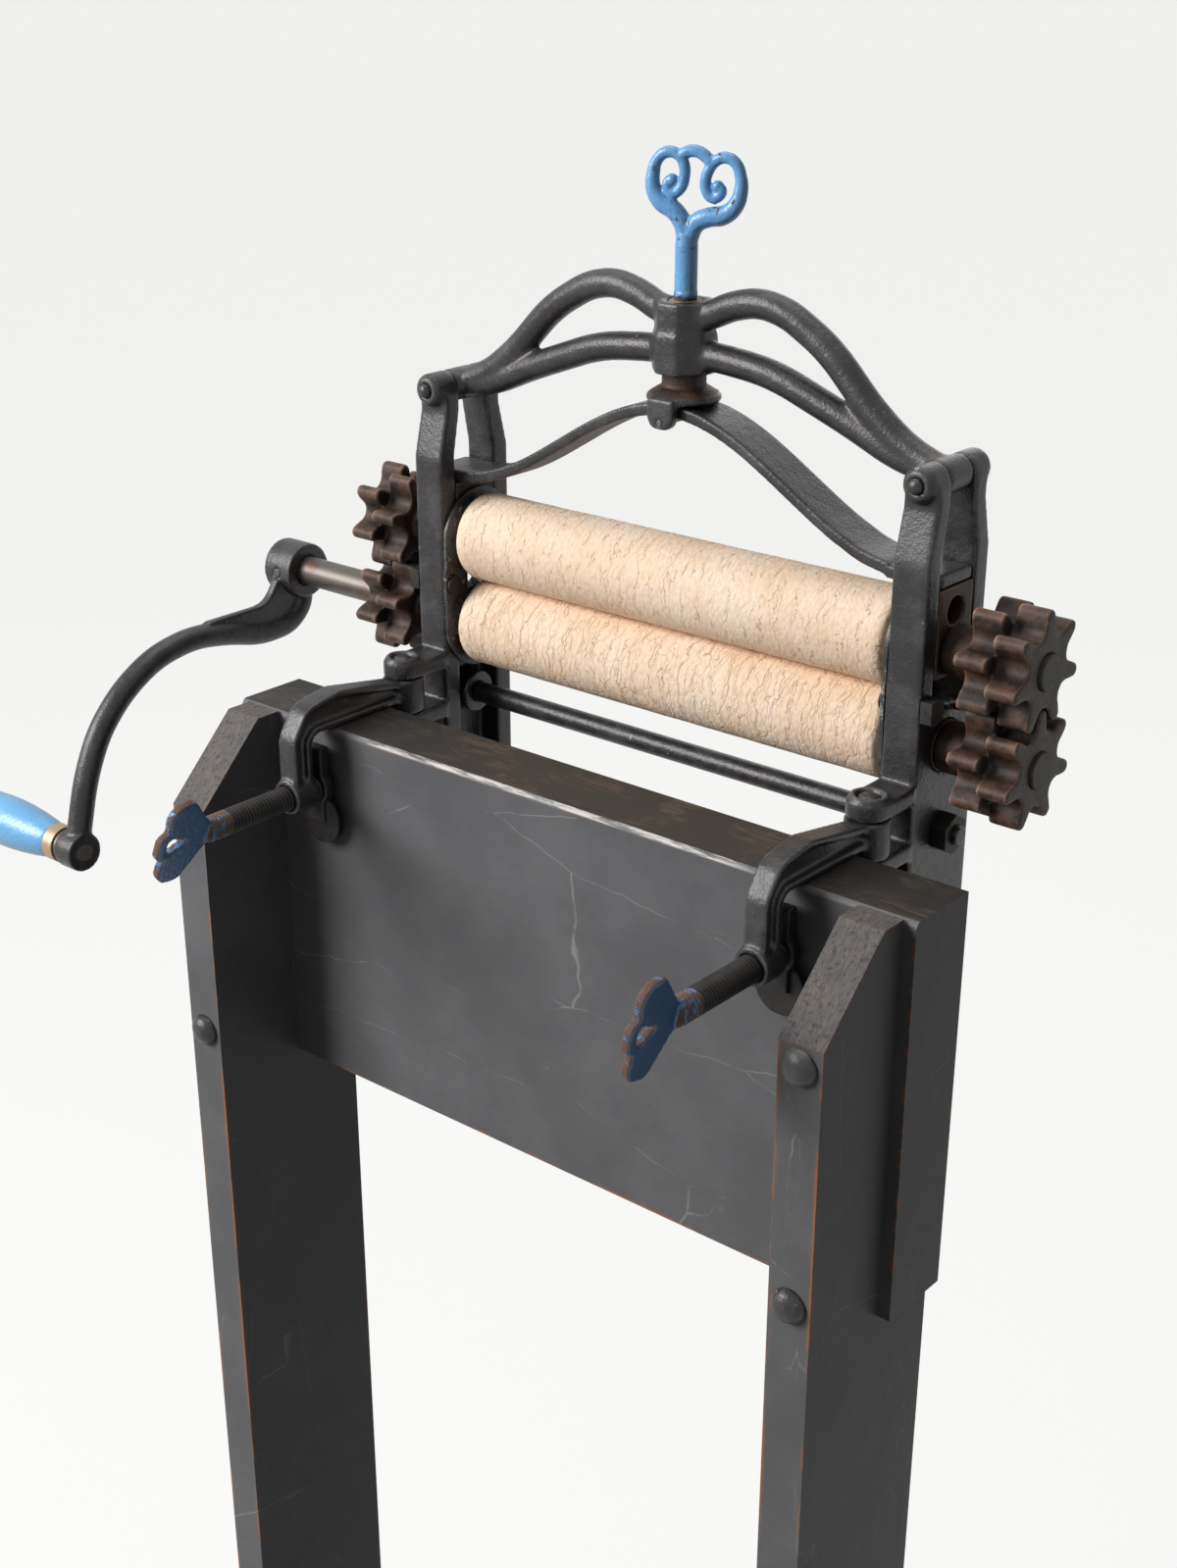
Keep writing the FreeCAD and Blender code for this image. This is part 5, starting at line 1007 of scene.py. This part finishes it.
class WRINGER_OT_clamps(bpy.types.Operator):
    """Clamp arms, jaws and winged clamp screws"""
    bl_idname = "wringer.clamps"
    bl_label = "Clamps"

    def execute(self, context):
        sizes = context.scene.wringer_sizes
        for side in SIDES:
            # The jaws' near-black oiled finish is painted shade: they sit in shadow behind the arms and are
            # darkened to match it
            for piece, finish_name, rounds in (("arm", "japanned_iron", 3), ("jaw", "oiled_iron_and_painted_jaw_shade", 1)):
                node = f"{side}_clamp_{piece}"
                shape = as_cast(fresh_copy(node), sizes.small_grain, rounds * sizes.cast_rounds)
                dress(node, shape, [finish_name], "casting", smooth_angle=180)
            self.screw(f"{side}_clamp_screw", WING_TURN[side], sizes)
        return {"FINISHED"}

    def screw(self, node, turn, sizes):
        """A winged screw: the wing from the CAD shape's front, then a real thread to its plain tip."""
        jaw_low, jaw_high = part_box(node.replace("screw", "jaw"))
        axis = Vector(((jaw_low.x + jaw_high.x) / 2, 0, CLAMP_SCREW_Z))
        tip_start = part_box(node)[1].y - CLAMP_END
        wing = fresh_copy(node)
        bmesh.ops.bisect_plane(wing, geom=wing.verts[:] + wing.edges[:] + wing.faces[:],
                               plane_co=(0, WING_CUT, 0), plane_no=Y, clear_outer=True)
        bmesh.ops.holes_fill(wing, edges=[edge for edge in wing.edges if edge.is_boundary], sides=0)
        wing = as_cast(wing, sizes.small_grain, sizes.cast_rounds)
        flat = Vector((math.cos(turn), 0, -math.sin(turn)))
        for face in wing.faces:
            face.material_index = 0 if abs(face.normal.dot(flat)) > 0.75 else 2
        thread = threaded_rod(CLAMP_RADIUS, CLAMP_DEPTH_SHARE * sizes.thread_depth, sizes.clamp_pitch,
                              tip_start - CLAMP_THREAD_START)
        for face in thread.faces:
            face.material_index = 2 if face.calc_center_median().z < PAINTED_THREAD else 1
        thread = stood(thread, axis + Y * CLAMP_THREAD_START, Y)
        tip = stood(turned_end(CLAMP_TIP), axis + Y * tip_start, Y)
        whole = joined(wing, thread, coated(tip, 1))
        finishes = ["deep_blue_paint", "oiled_iron_and_painted_jaw_shade", "worn_blue_rim"]
        dress(node, whole, finishes, "winged_screw", smooth_angle=50)


OPERATORS = (
    WRINGER_OT_stage,
    WRINGER_OT_timber,
    WRINGER_OT_fasteners,
    WRINGER_OT_side_frames,
    WRINGER_OT_top_bar,
    WRINGER_OT_fittings,
    WRINGER_OT_rolls,
    WRINGER_OT_pressure_gear,
    WRINGER_OT_gears,
    WRINGER_OT_crank,
    WRINGER_OT_clamps,
)


class WRINGER_PT_panel(bpy.types.Panel):
    """Lists the wringer's pieces"""
    bl_idname = "WRINGER_PT_panel"
    bl_label = "Laundry wringer"
    bl_space_type = "VIEW_3D"
    bl_region_type = "UI"
    bl_category = "Wringer"

    def draw(self, context):
        for operator in OPERATORS:
            self.layout.operator(operator.bl_idname)
        for group in (context.scene.wringer_sizes, context.scene.wringer_colours):
            for name in group.__annotations__:
                self.layout.prop(group, name)


CLASSES = (WringerColours, WringerSizes, *OPERATORS, WRINGER_PT_panel)


def register():
    for kind in CLASSES:
        bpy.utils.register_class(kind)
    bpy.types.Scene.wringer_colours = PointerProperty(type=WringerColours)
    bpy.types.Scene.wringer_sizes = PointerProperty(type=WringerSizes)


def unregister():
    del bpy.types.Scene.wringer_sizes
    del bpy.types.Scene.wringer_colours
    for kind in reversed(CLASSES):
        bpy.utils.unregister_class(kind)


def main():
    register()
    for operator in OPERATORS:
        group, name = operator.bl_idname.split(".")
        getattr(getattr(bpy.ops, group), name)()


if __name__ == "__main__":
    main()
